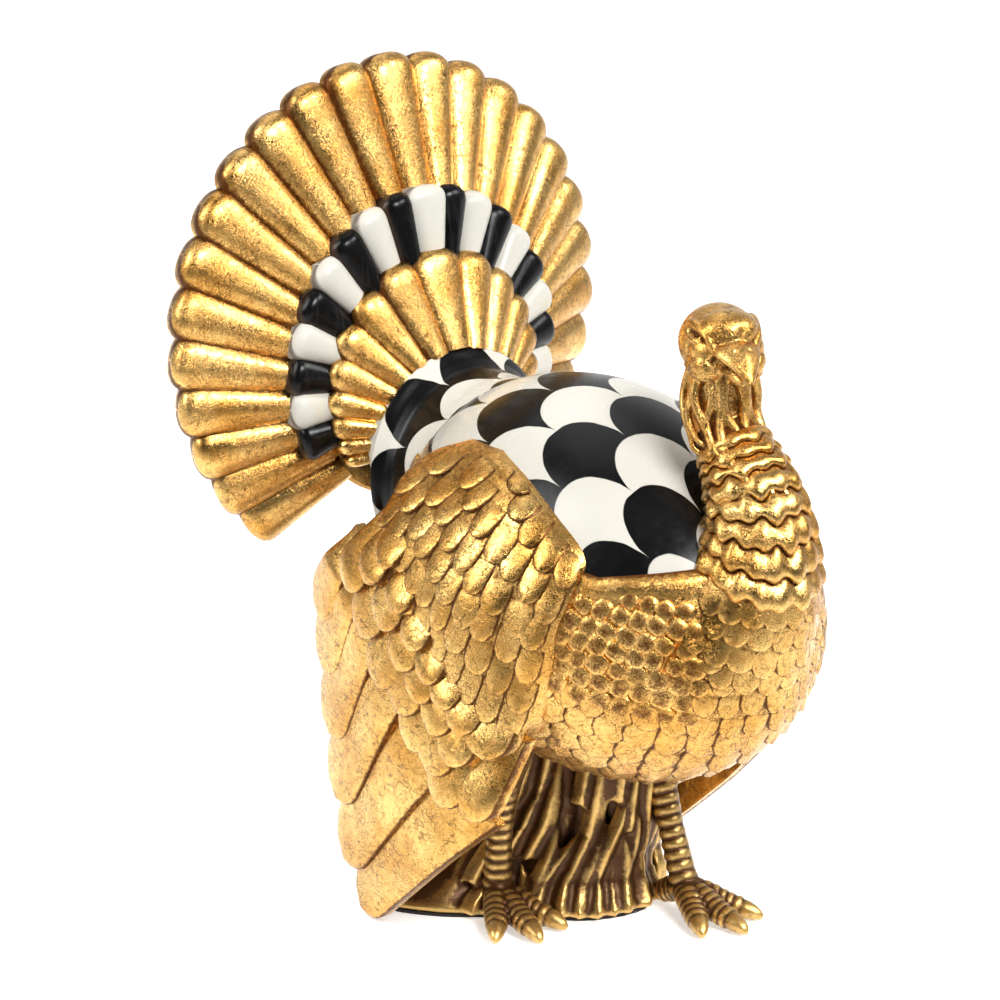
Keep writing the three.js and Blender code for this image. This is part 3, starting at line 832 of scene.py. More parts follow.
def body_shell(name, saddle, lift):
    """The painted saddle, or the rest of the body, as a wall; lift is how far a place stands out."""
    mesh = egg()
    work = bmesh.new()
    work.from_mesh(mesh)
    spare = [f for f in work.faces if (into_saddle(np.array(f.calc_center_median())) > 0) != saddle]
    bmesh.ops.delete(work, geom=spare, context="FACES")
    for vertex in work.verts:
        place = np.array(vertex.co)
        vertex.co += Vector(body_outward(place) * lift(place))
    borders = [e for e in work.edges if e.is_boundary]
    outside = work.faces[:]
    inner = {}
    for vertex in work.verts[:]:
        depth = Vector(body_outward(np.array(vertex.co)) * SHELL_WALL)
        inner[vertex] = work.verts.new(vertex.co - depth)
    for face in outside:
        work.faces.new([inner[v] for v in reversed(face.verts)])
    for edge in borders:
        a, b = edge.verts
        work.faces.new([a, b, inner[b], inner[a]])
    bmesh.ops.recalc_face_normals(work, faces=work.faces[:])
    bmesh.ops.scale(work, vec=(MM, MM, MM), verts=work.verts[:])
    work.to_mesh(mesh)
    work.free()
    mesh.name = name
    return linked(name, mesh)


# Rows on the breast: degrees above the body's middle line, width, length, rise.
PILLOW_ROWS = [
    (22.8, 8.8, 8.6, 1.7),
    (17.5, 9, 8.8, 1.9),
    (12.2, 9.2, 9, 2.2),
    (6.9, 9.4, 9.2, 2.4),
    (1.6, 9.7, 9.4, 2.4),
    (-3.8, 10, 9.8, 2.4),
    (-9.4, 10.3, 10.2, 2.4),
]
FEATHER_ROWS = [
    (11, 11, 16, 2.4),
    (4, 11.5, 17, 2.8),
    (-3.5, 12, 18, 3.2),
    (-11, 13, 19, 3.6),
    (-19, 14.5, 22, 4),
    (-28, 15.5, 24, 4.4),
    (-37, 16, 24, 4.4),
    (-46, 16, 24, 4.4),
    (-55, 16, 24, 4.2),
    (-64, 16, 24, 3.8),
    (-73, 16, 23, 3.2),
]
PILLOWS_FROM = 36
PILLOWS_LOWEST = -10
FEATHER_LIE = np.array([0, 0.75, -1])


def ring_of_body(rise, count, offset):
    """Places spread evenly round the body at one height over its middle line."""
    fine = np.linspace(0, 2 * np.pi, 721)
    level = math.cos(math.radians(rise))
    reach = np.where(np.cos(fine) > 0, BODY_FRONT, BODY_REAR)
    x = BODY_HALF_WIDTH * level * np.sin(fine)
    along = -reach * level * np.cos(fine)
    run = np.concatenate([[0], np.cumsum(np.hypot(np.diff(x), np.diff(along)))])
    wanted = run[-1] * ((np.arange(count) + offset) / count)
    up = BODY_HALF_DEPTH * math.sin(math.radians(rise))
    return in_body(np.interp(wanted, run, x), np.interp(wanted, run, along), up), run[-1]


def under_wing(places):
    x, y, z = places.T
    front, rear = wing_edges(z)
    held = (y > front + 5) & (y < rear) & (z > 15) & (z < 245)
    return held & (wing_span(y, z) - np.abs(x) < 7)


def beside_neck(places):
    """True where the root of the neck doesn't cover a place on the body."""
    middles, radii = neck_run(np.linspace(0, 0.5, 40))
    gaps = np.linalg.norm(places[:, None] - middles, axis=2) - radii
    return gaps.min(1) > -1


def breast_rows(rows, wide, long, pillows):
    """Places of breast feathers. Pillows keep to the upper flanks, and feathers to the rest."""
    places, sizes = [], []
    for k, (rise, width, length, height) in enumerate(rows):
        _, around = ring_of_body(rise, 1, 0)
        spots, _ = ring_of_body(rise, round(around / width), 0.5 * (k % 2))
        flank = (np.abs(spots[:, 0]) > PILLOWS_FROM) & (rise > PILLOWS_LOWEST)
        clear = np.array([into_saddle(spot) < -8 for spot in spots])
        spots = spots[clear & ~under_wing(spots) & beside_neck(spots) & (flank == pillows)]
        places.append(spots)
        sizes.append(np.tile([wide * width, long * length, height], (len(spots), 1)))
    places = np.concatenate(places)
    places = places + dice.normal(0, 0.5, places.shape)
    size = np.concatenate(sizes) * dice.uniform(0.86, 1.14, (len(places), 3))
    outward = body_outward(places)
    lie = FEATHER_LIE + dice.normal(0, 0.09, (len(places), 3))
    facing = unit(lie - outward * (lie * outward).sum(1)[:, None])
    return places, facing, outward, size


def breast_surface():
    """Helper skin over the body and the root of the neck, with its outward directions."""
    middles, radii = neck_run(np.linspace(0, 0.45, 24))
    root = skin(limb_rings(middles, radii, 64, (1, 0, 0)))
    made = fused("breast_surface", [egg_shell(), root], 2.4, 6)
    mesh = made.data
    set_attribute(mesh, "outward", normals_of(mesh))
    bpy.data.objects.remove(made)
    return mesh


def body_piece(surface):
    ground = body_shell("body_ground", False, rim_roll)
    depth = np.array([into_saddle(place) for place in places_of(ground.data) / MM])
    # The bare ground between the feathers carries painted shade, stronger on the lower body; a dark line
    # runs along the seam beside the painted back.
    plain = mix(0.6, 0.25, ease((depth + 62) / 10))
    seam = ease((depth + 2.5) / 2)
    set_attribute(ground.data, "groove", np.maximum(plain, seam))
    pillows = breast_rows(PILLOW_ROWS, 1.18, 1.2, True)
    made = laid("breast_pillows", ground, pillow_copy("pillow"), surface, pillows)
    feathers = breast_rows(FEATHER_ROWS, 1.26, 1.12, False)
    made = laid("gilded_body", made, scale_copy("breast_feather"), surface, feathers)
    return finished(made, GOLD, "gold_leaf", "body_shell")


def painted_back():
    made = body_shell("painted_back", True, lambda place: -0.2)
    x, along, up = body_coordinates(places_of(made.data) / MM).T
    roll = np.arctan2(x / BODY_HALF_WIDTH, up / BODY_HALF_DEPTH)
    lay_uv(made.data, roll * BODY_HALF_WIDTH / SCALLOP_WIDTH, along / SCALLOP_ROW)
    return finished(made, SCALLOPED, "painted_back", "back_panel")


def lay_uv(mesh, u, v):
    layer = mesh.uv_layers.new(name="laid")
    corners = np.zeros(len(mesh.loops), np.int32)
    mesh.loops.foreach_get("vertex_index", corners)
    layer.data.foreach_set("uv", np.stack([u, v], -1)[corners].astype(np.float32).ravel())


# Wings

WING_LINE = 176
WING_HALF_SPAN = 93
WING_SKIN = 6
WING_ROWS = np.array([
    (242, -6, 20),
    (214, -70, 30),
    (180, -80, 52),
    (147, -74, 70),
    (118, -60, 66),
    (94, -46, 62),
    (63, -28, 60),
    (36, 0, 54),
    (15, 26, 42),
])
SHOULDER_ROWS = np.array([
    (246, -22, 2),
    (238, -45, 20),
    (226, -68, 29),
    (212, -88, 30),
    (198, -91, 28),
    (178, -86, 12),
    (158, -82, -14),
    (140, -75, -36),
    (128, -69, -42),
    (120, -61, -48),
])
# Flight feathers and coverts: tip y and z, degrees below the rear, length, width, lift.
FLIGHT_FEATHERS = [
    (53, 7, 39, 122, 31, 0.6),
    (68, 28, 45, 126, 36, 2),
    (73, 58, 54, 118, 37, 3.4),
    (76, 90, 59, 110, 36, 4.6),
    (79, 122, 60, 78, 33, 5.4),
    (80, 148, 59, 54, 28, 6),
]
COVERTS = [
    (-42, 78, 68, 46, 23, 6.0),
    (-21, 82, 57, 50, 28, 6.4),
    (-14, 97, 54, 52, 28, 6.6),
    (-1, 105, 56, 52, 28, 6.8),
    (7, 121, 57, 52, 28, 7.0),
    (23, 130, 58, 52, 28, 7.2),
    (35, 152, 58, 50, 28, 7.4),
    (46, 172, 58, 46, 26, 7.6),
    (-30, 104, 60, 40, 24, 7.2),
    (-18, 117, 58, 40, 24, 7.4),
    (-7, 130, 58, 40, 24, 7.6),
    (5, 143, 58, 40, 24, 7.8),
    (17, 160, 58, 40, 24, 8.0),
    (28, 180, 60, 38, 23, 8.2),
    (-16, 141, 62, 32, 20, 8.4),
    (-6, 155, 62, 32, 20, 8.6),
    (5, 171, 62, 32, 20, 8.8),
    (15, 190, 66, 32, 20, 9.0),
    (-27, 131, 64, 30, 19, 8.4),
    (-38, 121, 66, 32, 20, 8.6),
    (-52, 111, 76, 36, 25, 8.6),
]


def wing_span(y, z):
    """How far the wing stands out from the middle plane at a place seen from its side."""
    rise = (z - WING_LINE) / (0.94 * BODY_HALF_DEPTH)
    droop = 1 - 0.054 * (WING_LINE - z) / WING_LINE
    profile = np.where(rise > 0, np.sqrt(np.maximum(0.04, 1 - rise**2)), droop)
    reach = np.where(y > -20, y / (1.35 * BODY_FRONT), (y + 20) / (0.72 * BODY_FRONT))
    taper = np.sqrt(np.maximum(0.1, 1 - reach**2))
    return np.maximum(WING_HALF_SPAN * profile * taper, body_half_width(y, z) + 1.5)


def wing_point(side, y, z, lift):
    y, z, lift = np.broadcast_arrays(y, z, lift)
    return np.stack([side * (wing_span(y, z) + lift), y, z], -1)


def wing_edges(z):
    rows = np.concatenate([SHOULDER_ROWS[:-1], WING_ROWS[5:]])[::-1]
    front = np.interp(z, rows[:, 0], rows[:, 1])
    whole = WING_ROWS[::-1]
    rear = np.interp(z, whole[:, 0], whole[:, 2])
    return front, rear


def wing_sheet(side):
    rows = curve_through(WING_ROWS, np.linspace(0.12, 1, 40))
    share = np.linspace(0, 1, 16)
    y = mix(rows[:, 1:2] + 5, rows[:, 2:3], share)
    z = np.broadcast_to(rows[:, :1], y.shape)
    outer = wing_point(side, y, z, -1)
    return closed_sheet(outer, wing_point(side, y, z, -1 - WING_SKIN), 0.35, 0.35)


def wing_feather(side, feather, upper=1.4, lower=0.9, climb=0.4, rim=0.91):
    """Feather with a round tip; its root dives in and its lower edge stands over the next one.

    Upper and lower widen the root on each side, climb is where along it the feather has risen,
    and the groove, a band of painted shade along the edge, starts at rim.
    """
    y, z, fall, length, width, lift = feather
    run = np.array([math.cos(math.radians(fall)), -math.sin(math.radians(fall))])
    t = np.concatenate([np.linspace(0, 0.78, 14), 0.78 + 0.22 * np.sin(np.linspace(0.15, 1.5, 9))])
    across = np.sin(np.linspace(-np.pi / 2, np.pi / 2, 13))
    cap = 0.5 * width / length
    late = np.clip((t - 1 + cap) / cap, 0, 1)
    rounded = 0.5 * width * np.sqrt(1 - late**2)
    spread = mix(np.where(across > 0, upper, lower), 1, ease(t / 0.85)[:, None])
    offset = rounded[:, None] * spread * across
    back = (1 - t) * length
    py = y - back[:, None] * run[0] - offset * run[1]
    pz = z - back[:, None] * run[1] + offset * run[0]
    edge = np.maximum(np.abs(across)[None], late[:, None] ** 3)
    rooted = ease(t / climb)[:, None]
    height = mix(-1.5, lift, rooted) + rooted * (2.3 * (1 - edge**3) ** 0.6 + 0.9 * (1 - across))
    # Painted shade along the edge and at the root, where the next feather lies over it.
    groove = ease((edge - rim) / (1 - rim)) + 0.5 * (1 - ease(t / 0.2))[:, None]
    top = wing_point(side, py, pz, height)
    under = wing_point(side, py, pz, height - WING_SKIN)
    return closed_sheet(top, under, np.clip(groove, 0, 1), 0.3)


def shoulder_grid(rows=44, columns=36):
    """The shoulder pad seen from its side: places, and how far it stands off the wing."""
    edges = curve_through(SHOULDER_ROWS, np.linspace(0, 1, rows))
    share = np.linspace(0, 1, columns)
    down = np.linspace(-1, 1, rows)[:, None]
    y = mix(edges[:, 1:2], edges[:, 2:3], share)
    z = np.broadcast_to(edges[:, :1], y.shape)
    bulge = (1 - np.abs(2 * share - 1) ** 6) * (1 - np.abs(down) ** 8)
    return y, z, 1.6 + 4.2 * np.sqrt(np.maximum(bulge, 0))


def shoulder_pad(side):
    y, z, lift = shoulder_grid()
    outer = wing_point(side, y, z, lift)
    inner = wing_point(side, y, z, -30 + 0 * lift)
    inside = np.minimum(y - y[:, :1], y[:, -1:] - y)
    # Painted shade on the pad where it shows between its feathers, lighter at its edges.
    return closed_sheet(outer, inner, mix(0.2, 0.55, ease((inside - 3) / 3)), 0.4)


def shoulder_surface(side):
    """Open helper surface of the pad, with its outward directions."""
    y, z, lift = shoulder_grid()
    grid = wing_point(side, y, z, lift)
    down, aft = np.gradient(grid, axis=0), np.gradient(grid, axis=1)
    outward = unit(np.cross(down, aft))
    outward *= np.sign(outward[..., :1]) * side
    mesh = bpy.data.meshes.new("shoulder_surface")
    mesh.from_pydata((grid.reshape(-1, 3) * MM).tolist(), [], grid_faces(*grid.shape[:2]).tolist())
    set_attribute(mesh, "outward", outward.reshape(-1, 3))
    return mesh, grid.reshape(-1, 3), outward.reshape(-1, 3)


SHOULDER_COLUMN = 12.5
SHOULDER_CELL = 15
SHOULDER_LEAN = 0.3
SHOULDER_START = (-61.2, 244)
SHOULDER_HEIGHTS = (122, 243)


def shoulder_rows(grid, outwards):
    """Columns of feathers down the pad, each column leaning to the rear."""
    spots = []
    heights, fronts, rears = SHOULDER_ROWS[::-1].T
    start_y, start_z = SHOULDER_START
    lowest, highest = SHOULDER_HEIGHTS
    for i in range(-12, 14):
        for k in range(11):
            z = start_z - SHOULDER_CELL * (k + 0.5 * (i % 2))
            y = start_y + SHOULDER_COLUMN * i + SHOULDER_LEAN * (start_z - z)
            between = np.interp(z, heights, fronts) + 1 < y < np.interp(z, heights, rears) - 1
            if between and lowest < z < highest:
                spots.append((y, z))
    near = [np.argmin(((grid[:, 1:] - spot) ** 2).sum(1)) for spot in spots]
    outward = outwards[near]
    lie = np.array([0, SHOULDER_LEAN, -1])
    facing = unit(lie - outward * (outward @ lie)[:, None])
    size = np.tile([1.2 * SHOULDER_COLUMN, 1.75 * SHOULDER_CELL, 3.4], (len(spots), 1))
    return grid[near], facing, outward, size * dice.uniform(0.95, 1.05, size.shape)


def wing_piece(side, name, node):
    shells = [wing_sheet(side), shoulder_pad(side)]
    shells += [wing_feather(side, feather) for feather in FLIGHT_FEATHERS[:-2]]
    shells += [wing_feather(side, feather, upper=0.35) for feather in FLIGHT_FEATHERS[-2:]]
    covert = dict(upper=0.8, lower=0.6, climb=0.9, rim=0.84)
    shells += [wing_feather(side, feather, **covert) for feather in COVERTS]
    ground = form(name + "_ground", shells)
    surface, grid, outwards = shoulder_surface(side)
    copy = scale_copy("shoulder_feather", root=0.95, shoulder=0.68, crown=0.45, line=0.38)
    made = laid(name, ground, copy, surface, shoulder_rows(grid, outwards))
    return finished(made, GOLD, "gold_leaf", node)


# Tail

# Feathers on each side of the middle one, degrees between them and how much these close up, sizes of
# a feather, wider feathers by their number, and rings of roots and tips: y, z, half-width, half-height.
TAIL_ROWS = {
    "outer": dict(
        pairs=12, step=11.5, close=0, dome=8.5, back=5, spread={0: 1.08},
        root=(29.5, 57, 68, 68), tip=(55.5, 72, 130.5, 130),
    ),
    "middle": dict(
        pairs=9, step=12.5, close=0, dome=7, back=9, spread={0: 1.35, 1: 0.95, 2: 1.1},
        root=(19.5, 49, 50, 50), tip=(25.5, 55, 82, 86),
    ),
    "inner": dict(
        pairs=8, step=23.3, close=1, dome=7, back=9, spread={0: 1.08},
        root=(0, 34, 30, 28), tip=(18.5, 46, 64, 64),
    ),
}
PLATE_RADIUS = 72
PLATE_BEHIND = 30.5
PLATE_ABOVE = 55
# Outline of the plate behind the tail: radius and depth.
PLATE_PROFILE = [
    (0.5, -3),
    (PLATE_RADIUS - 1.5, -3),
    (PLATE_RADIUS, -1.5),
    (PLATE_RADIUS, 1.5),
    (PLATE_RADIUS - 2, 3),
    (40, 4.2),
    (1, 5),
]
TUCK = math.radians(9)


def ring_place(ring, angle):
    y, z, wide, high = ring
    return RUMP + np.stack([wide * np.sin(angle), y + 0 * angle, z + high * np.cos(angle)], -1)


def tail_places(row):
    """Where a row's feathers stand; each one tucks under its neighbour nearer the middle."""
    u = np.arange(-row["pairs"], row["pairs"] + 1)
    angle = np.radians(row["step"] * u - row["close"] * u * np.abs(u))
    half_step = 0.5 * np.radians(row["step"] - 2 * row["close"] * np.abs(u))
    root, tip = ring_place(row["root"], angle), ring_place(row["tip"], angle)
    facing = unit(tip - root)
    edge = ring_place(row["tip"], angle + half_step) - ring_place(row["tip"], angle - half_step)
    front = unit(np.cross(unit(edge), facing))
    front *= -np.sign(front[:, 1:2])
    roll = TUCK * np.sign(u)
    across = np.cross(facing, front)
    outward = front * np.cos(roll)[:, None] - across * np.sin(roll)[:, None]
    width = np.linalg.norm(edge, axis=1)
    return u, root, facing, outward, np.linalg.norm(tip - root, axis=1), width


def tail_row(name, key, finish, slot, node, ground=()):
    row = TAIL_ROWS[key]
    u, root, facing, outward, length, width = tail_places(row)
    middle = row["pairs"]
    longest, widest = length[middle], 1.12 * width[middle]
    copy = tail_copy(name + "_feather", longest, widest, 0.55, row["dome"], row["back"])
    size = np.stack([width / width[middle], length / length[middle], np.ones(len(u))], -1)
    size[:, 0] *= np.array([row["spread"].get(abs(k), 1) for k in u])
    lifted = root + outward * (1.6 - 0.9 * np.minimum(np.abs(u), 2))[:, None]
    tone = np.abs(u) % 2
    cloud = place_cloud(name + "_places", lifted, facing, outward, size, tone=tone)
    inputs = dict(Copy=copy, Width=1.0, Length=1.0, Rise=1.0, Finish=finish)
    if ground:
        inputs["Ground"] = form(name + "_ground", list(ground))
    made = grown(name, STANDING_COPIES, cloud, **inputs)
    return finished(made, finish, slot, node)


def tail_plate():
    """Round plate behind the tail, with a soft rim and a slight dome at the back."""
    turn = turns(72)
    rings = [ring_place((PLATE_BEHIND + y, PLATE_ABOVE, r, r), turn) for r, y in PLATE_PROFILE]
    return skin(np.array(rings), 0.25)


# Collar sections behind the rump's middle: y, z, half-width, half-height.
COLLAR_SECTIONS = np.array([
    (-45, -7, 58, 63),
    (-30, -3, 53.5, 57.6),
    (-15, 2, 51, 54),
    (-9.5, 4.4, 52.4, 55.2),
    (-6, 5.8, 55, 57.6),
    (-4.6, 6.4, 55.5, 58),
    (-3.6, 7, 54.8, 57.2),
    (-3.4, 8, 50, 52),
    (27.2, 45, 43, 43),
])
COLLAR_SCALLOPS = 8


def painted_collar():
    sides = 128
    turn = turns(sides)
    fine = []
    for near, far in zip(COLLAR_SECTIONS[:-1], COLLAR_SECTIONS[1:]):
        fine += [mix(near, far, share) for share in (0, 0.25, 0.5, 0.75)]
    fine.append(COLLAR_SECTIONS[-1])
    rings = [
        RUMP + np.stack([w * np.cos(turn), y + 0 * turn, z + h * np.sin(turn)], -1)
        for y, z, w, h in fine
    ]
    made = form("painted_collar", [skin(np.array(rings))])
    x, y, z = (places_of(made.data) / MM - RUMP).T
    share = np.arctan2(x, z - 6) / (2 * np.pi)
    lay_uv(made.data, share * COLLAR_SCALLOPS, (y + 3) / (0.7 * SCALLOP_ROW))
    return finished(made, SCALLOPED, "painted_back", "tail_collar")


# Neck: a cape of scalloped feather rows

NECK_STATIONS = np.array([
    (29, 21, 36),
    (20, 39, 32),
    (15.5, 56, 28.5),
    (14, 71, 25),
    (18, 87, 21.8),
    (27, 101, 19),
    (36, 112, 17.8),
    (41.5, 123, 18),
    (42, 140, 18.5),
])
# Rolls of the cape: share of the neck's run at the lower edge, lobes, how far it stands out.
CAPE_ROLLS = [
    (0.2, 17, 5),
    (0.29, 16, 4.7),
    (0.37, 15, 4.4),
    (0.44, 13, 4),
    (0.505, 12, 3.6),
    (0.565, 11, 3.1),
    (0.62, 10, 2.6),
    (0.67, 9, 2),
]
CAPE_TOP = 0.715
ROLL_STEPS = np.array([0, 0.03, 0.09, 0.19, 0.33, 0.5, 0.68, 0.83, 0.94, 1])
NECK_FEATHER_ROWS = [0.185, 0.13, 0.075, 0.02]
NECK_FEATHER_SIZE = (15.5, 21, 2.8)


def neck_run(t):
    y, z, r = np.moveaxis(curve_through(NECK_STATIONS, t), -1, 0)
    return BREAST + np.stack([0 * y, y, z], -1), r


def neck_point(t, turn, height):
    """Place on the neck at a share t of its run; a turn of 0 looks to the front."""
    middle, radius = neck_run(t)
    ahead, _ = neck_run(np.clip(t + 0.01, 0, 1))
    behind, _ = neck_run(np.clip(t - 0.01, 0, 1))
    run = unit(ahead - behind)
    across = np.broadcast_to(np.array([1.0, 0, 0]), run.shape)
    forward = unit(np.cross(run, across))
    forward = forward * -np.sign(forward[..., 1:2])
    size = (radius + height)[..., None]
    return middle + size * (np.sin(turn)[..., None] * across + np.cos(turn)[..., None] * forward)


def roll_edge(k, turn):
    """Lower edge of a roll, sagging in lobes, and the lobes' fullness. Low edges rise behind."""
    share, count, _ = CAPE_ROLLS[k]
    slow = round(0.6 * count)
    lobes = 0.5 + 0.3 * np.sin(count * turn + 2.1 * k) + 0.25 * np.sin(slow * turn + 1.3 * k)
    rise = 0.06 * (1 - np.cos(turn + math.radians(10))) * (1 - k / len(CAPE_ROLLS))
    return share + rise - 0.026 * lobes, lobes


def cape():
    """Skin of the neck: plain under the breast feathers, then rolls of feathers with deep grooves."""
    sides = 216
    turn = turns(sides)
    edges = [roll_edge(k, turn) for k in range(len(CAPE_ROLLS))]
    edges.append((np.full(sides, CAPE_TOP), None))
    profile = np.sin(np.pi * ROLL_STEPS**0.7) ** 0.75
    foot = [(0, -4), (0.2, -1.5), (0.96, -1.2)]
    low = [neck_point(share * edges[0][0], turn, np.full(sides, lift)) for share, lift in foot]
    # The plain foot under the breast feathers and the top under the head carry painted shade.
    rings, grooves = [np.stack(low)], [np.full((len(foot), sides), 0.9)]
    for k, (_, _, height) in enumerate(CAPE_ROLLS):
        t = mix(edges[k][0], edges[k + 1][0], ROLL_STEPS[:, None])
        lift = height * profile[:, None] * (0.6 + 0.4 * edges[k][1]) - 0.9
        rings.append(neck_point(t, np.broadcast_to(turn, t.shape), lift))
        # Painted shade: darkest at each roll's lower edge and top, in the grooves between the rolls.
        grooves.append(np.broadcast_to(np.clip(1.05 - 1.25 * profile[:, None], 0, 1), t.shape))
    rings.append(np.stack([neck_point(np.full(sides, 0.8), turn, np.full(sides, -3.0))]))
    grooves.append(np.full((1, sides), 0.9))
    return skin(np.concatenate(rings), np.concatenate(grooves))


def neck_rows():
    """Feathers on the neck's root, between the breast and the cape."""
    places, facings, outwards = [], [], []
    for k, share in enumerate(NECK_FEATHER_ROWS):
        turn = np.radians(np.arange(-80, 81, 20) + 10 * (k % 2))
        t = np.full(len(turn), share)
        here = neck_point(t, turn, 0 * t)
        places.append(here)
        facings.append(neck_point(t - 0.02, turn, 0 * t) - here)
        outwards.append(here - neck_run(t)[0])
    places, facings, outwards = [np.concatenate(rows) for rows in (places, facings, outwards)]
    size = np.array(NECK_FEATHER_SIZE) * dice.uniform(0.92, 1.08, places.shape)
    return places, unit(facings), unit(outwards), size


def neck_cape(surface):
    ground = form("neck_ground", [cape()])
    made = laid("neck_cape", ground, scale_copy("neck_feather"), surface, neck_rows())
    return finished(made, GOLD, "gold_leaf", "neck_and_head", sharp=55)


# Head and throat

HEAD_MIDDLE = BREAST + np.array([0, 42, 151])
HEAD_TURN = math.radians(-20)


def in_head(places):
    """Places on the head, turned with it and moved to where it sits."""
    x, y, z = places.T
    c, s = math.cos(HEAD_TURN), math.sin(HEAD_TURN)
    return np.stack([x * c - y * s, x * s + y * c, z], -1) + HEAD_MIDDLE


# Beak from the face to its tip: y, z, half-width, half-height.
BEAK_SECTIONS = [
    (-14, 4, 11.5, 7),
    (-21, 4, 11, 6.6),
    (-28, 1.5, 8, 5.6),
    (-34, -2.5, 4.2, 3.8),
    (-38, -6.5, 1, 1.2),
]
# Cords of the left side of the face, as x, y, z and radius from the head's middle.
BROW = [
    (12, 7, 12, 1.6),
    (14.2, -1, 14.6, 2.4),
    (13.2, -9, 13, 2.5),
    (11.8, -15, 9.6, 2.1),
    (9.6, -17.5, 4.5, 1.5),
]
EYELID = [(17, -2, 8.6, 1.3), (15.6, -8, 7.8, 1.7), (13, -13, 7, 1.5), (11.4, -15.5, 6, 1)]
CHEEK_FOLD = [(17.5, -4, 0, 0.9), (17, -11, -3.4, 1.1), (13, -17, -5, 1)]
JAW_FOLD = [(17.8, -1, -4, 0.9), (16, -11, -8.2, 1.1), (11, -17, -9, 1)]
CHIN = [(0, -12, -7, 6), (0, -19, -7, 4.4), (0, -25, -8.5, 2.6), (0, -28, -9.5, 1)]
EYE_SLIT = [(16.6, -3, 11.6), (14.9, -9.5, 10.6), (13, -14, 9)]


def strand(stations, side=1):
    """Tapered cord through rows of x, y, z and radius."""
    run = curve_through(stations, np.linspace(0, 1, 24))
    return skin(limb_rings(run[:, :3] * [side, 1, 1], run[:, 3], 14, (1, 0, 0)))


def beak():
    """Wedge with a ridge on top, from the face to a tip that points down."""
    turn = turns(28)
    ridge = np.where(np.sin(turn) > 0, 1 - 0.35 * np.abs(np.cos(turn)), 0.75)
    rings = [
        np.stack([w * np.cos(turn), y + 0 * turn, z + h * np.sin(turn) * ridge], -1)
        for y, z, w, h in curve_through(BEAK_SECTIONS, np.linspace(0, 1, 22))
    ]
    return skin(np.array(rings))


def face_side(side):
    """Cheek, eyelids, eye and wrinkles on one side of the head."""
    shells = [
        ball((side * 8.5, -8, -3), (10, 11, 9.5)),
        ball((side * 7, -6.5, 3), (11, 12, 9)),
        ball((side * 13.4, -9.6, 9.6), (2.6, 3, 2.2)),
    ]
    return shells + [strand(cord, side) for cord in (BROW, EYELID, CHEEK_FOLD, JAW_FOLD)]


# Run of the throat's cords from the jaw down the neck: height, rear, and radius round the neck.
THROAT_RUN = [
    (-7, -2, 14),
    (-18, -1, 16.4),
    (-28, -0.7, 17),
    (-39, -6.2, 18),
    (-50, -15.2, 21.4),
    (-64, -24.2, 25.4),
    (-80, -28, 29.4),
]
# Cords: turn from the front, share of the run at the end, radius, sway in degrees.
THROAT_CORDS = [
    (-128, 0.5, 2.6, 8),
    (-108, 0.62, 2.9, -6),
    (-88, 0.55, 2.6, 7),
    (-68, 0.6, 3, -7),
    (-50, 0.68, 2.6, 9),
    (-32, 0.8, 3.1, 9),
    (-13, 0.84, 2.8, -9),
    (6, 0.86, 3.2, 9),
    (26, 0.8, 2.8, -8),
    (46, 0.84, 3.1, 7),
    (68, 0.7, 2.8, 8),
    (90, 0.74, 2.8, -8),
    (112, 0.6, 2.6, 8),
]


def throat_cord(turn, end, radius, sway):
    """Cord of skin that winds down the neck and sinks into it."""
    t = np.linspace(0, 1, 30)
    z, y, out = curve_through(THROAT_RUN, end * t).T
    angle = np.radians(turn + sway * np.sin(2.2 * np.pi * t)) + HEAD_TURN * (1 - t)
    sunk = 1.6 * radius * ease((t - 0.88) / 0.12)
    middles = np.stack([(out - sunk) * np.sin(angle), y - (out - sunk) * np.cos(angle), z], -1)
    size = radius * mix(1, 0.5, t)
    return skin(limb_rings(middles + HEAD_MIDDLE, size, 12, (1, 0, 0)))


def throat():
    t = np.linspace(0.5, 1, 40)
    middles, radii = neck_run(t)
    return skin(limb_rings(middles, radii - 4.5 * ease((t - 0.5) / 0.15), 72, (1, 0, 0)))


def face_dents():
    """Hollows over the beak, the slits of the eyes, the nostrils and the corners of the mouth."""
    dents = [(-6.6, -19.6, 12.6, 3.2, 1.2), (2.5, -21.4, 13.4, 3, 1)]
    slit = curve_through(EYE_SLIT, np.linspace(0, 1, 9))
    for side in (-1, 1):
        dents.append((side * 3.4, -27, 6.3, 0.9, 0.9))
        dents.append((side * 11, -17.5, 0, 1.8, 1.6))
        dents += [(side * x, y, z, 1.1, 1.5) for x, y, z in slit]
    dents = np.array(dents)
    return list(zip(in_head(dents[:, :3]), dents[:, 3], dents[:, 4]))


def head_and_throat():
    shells = [
        ball((0, 1, 4), (18.8, 20.5, 18)),
        ball((0, -8, 12), (14.5, 14, 9.5)),
        beak(),
        strand(CHIN),
    ]
    shells += face_side(-1) + face_side(1)
    shells = [(in_head(points), faces, groove) for points, faces, groove in shells]
    shells.append(throat())
    shells += [throat_cord(*cord) for cord in THROAT_CORDS]
    made = fused("head_and_throat", shells, 0.6, 2, face_dents(), flat=0.25)
    return finished(made, GOLD, "gold_leaf", "neck_and_head", sharp=80)


# Legs

LEG_HALF_SPACING = 37.5
SHANK_RADIUS = 6.25
THIGH_TOP = 138
LEGS = {
    "right": dict(side=-1, ankle=5, hip=-2, turn=12),
    "left": dict(side=1, ankle=-48, hip=0, turn=0),
}
# Height up the leg, and how much thicker it is there than the shank.
LEG_PROFILE = np.array([
    (10, 2),
    (20, 0.6),
    (42, 0),
    (58, 1.2),
    (72, 4.5),
    (86, 9),
    (THIGH_TOP, 13),
])
ANKLE_HEIGHT = 12.0
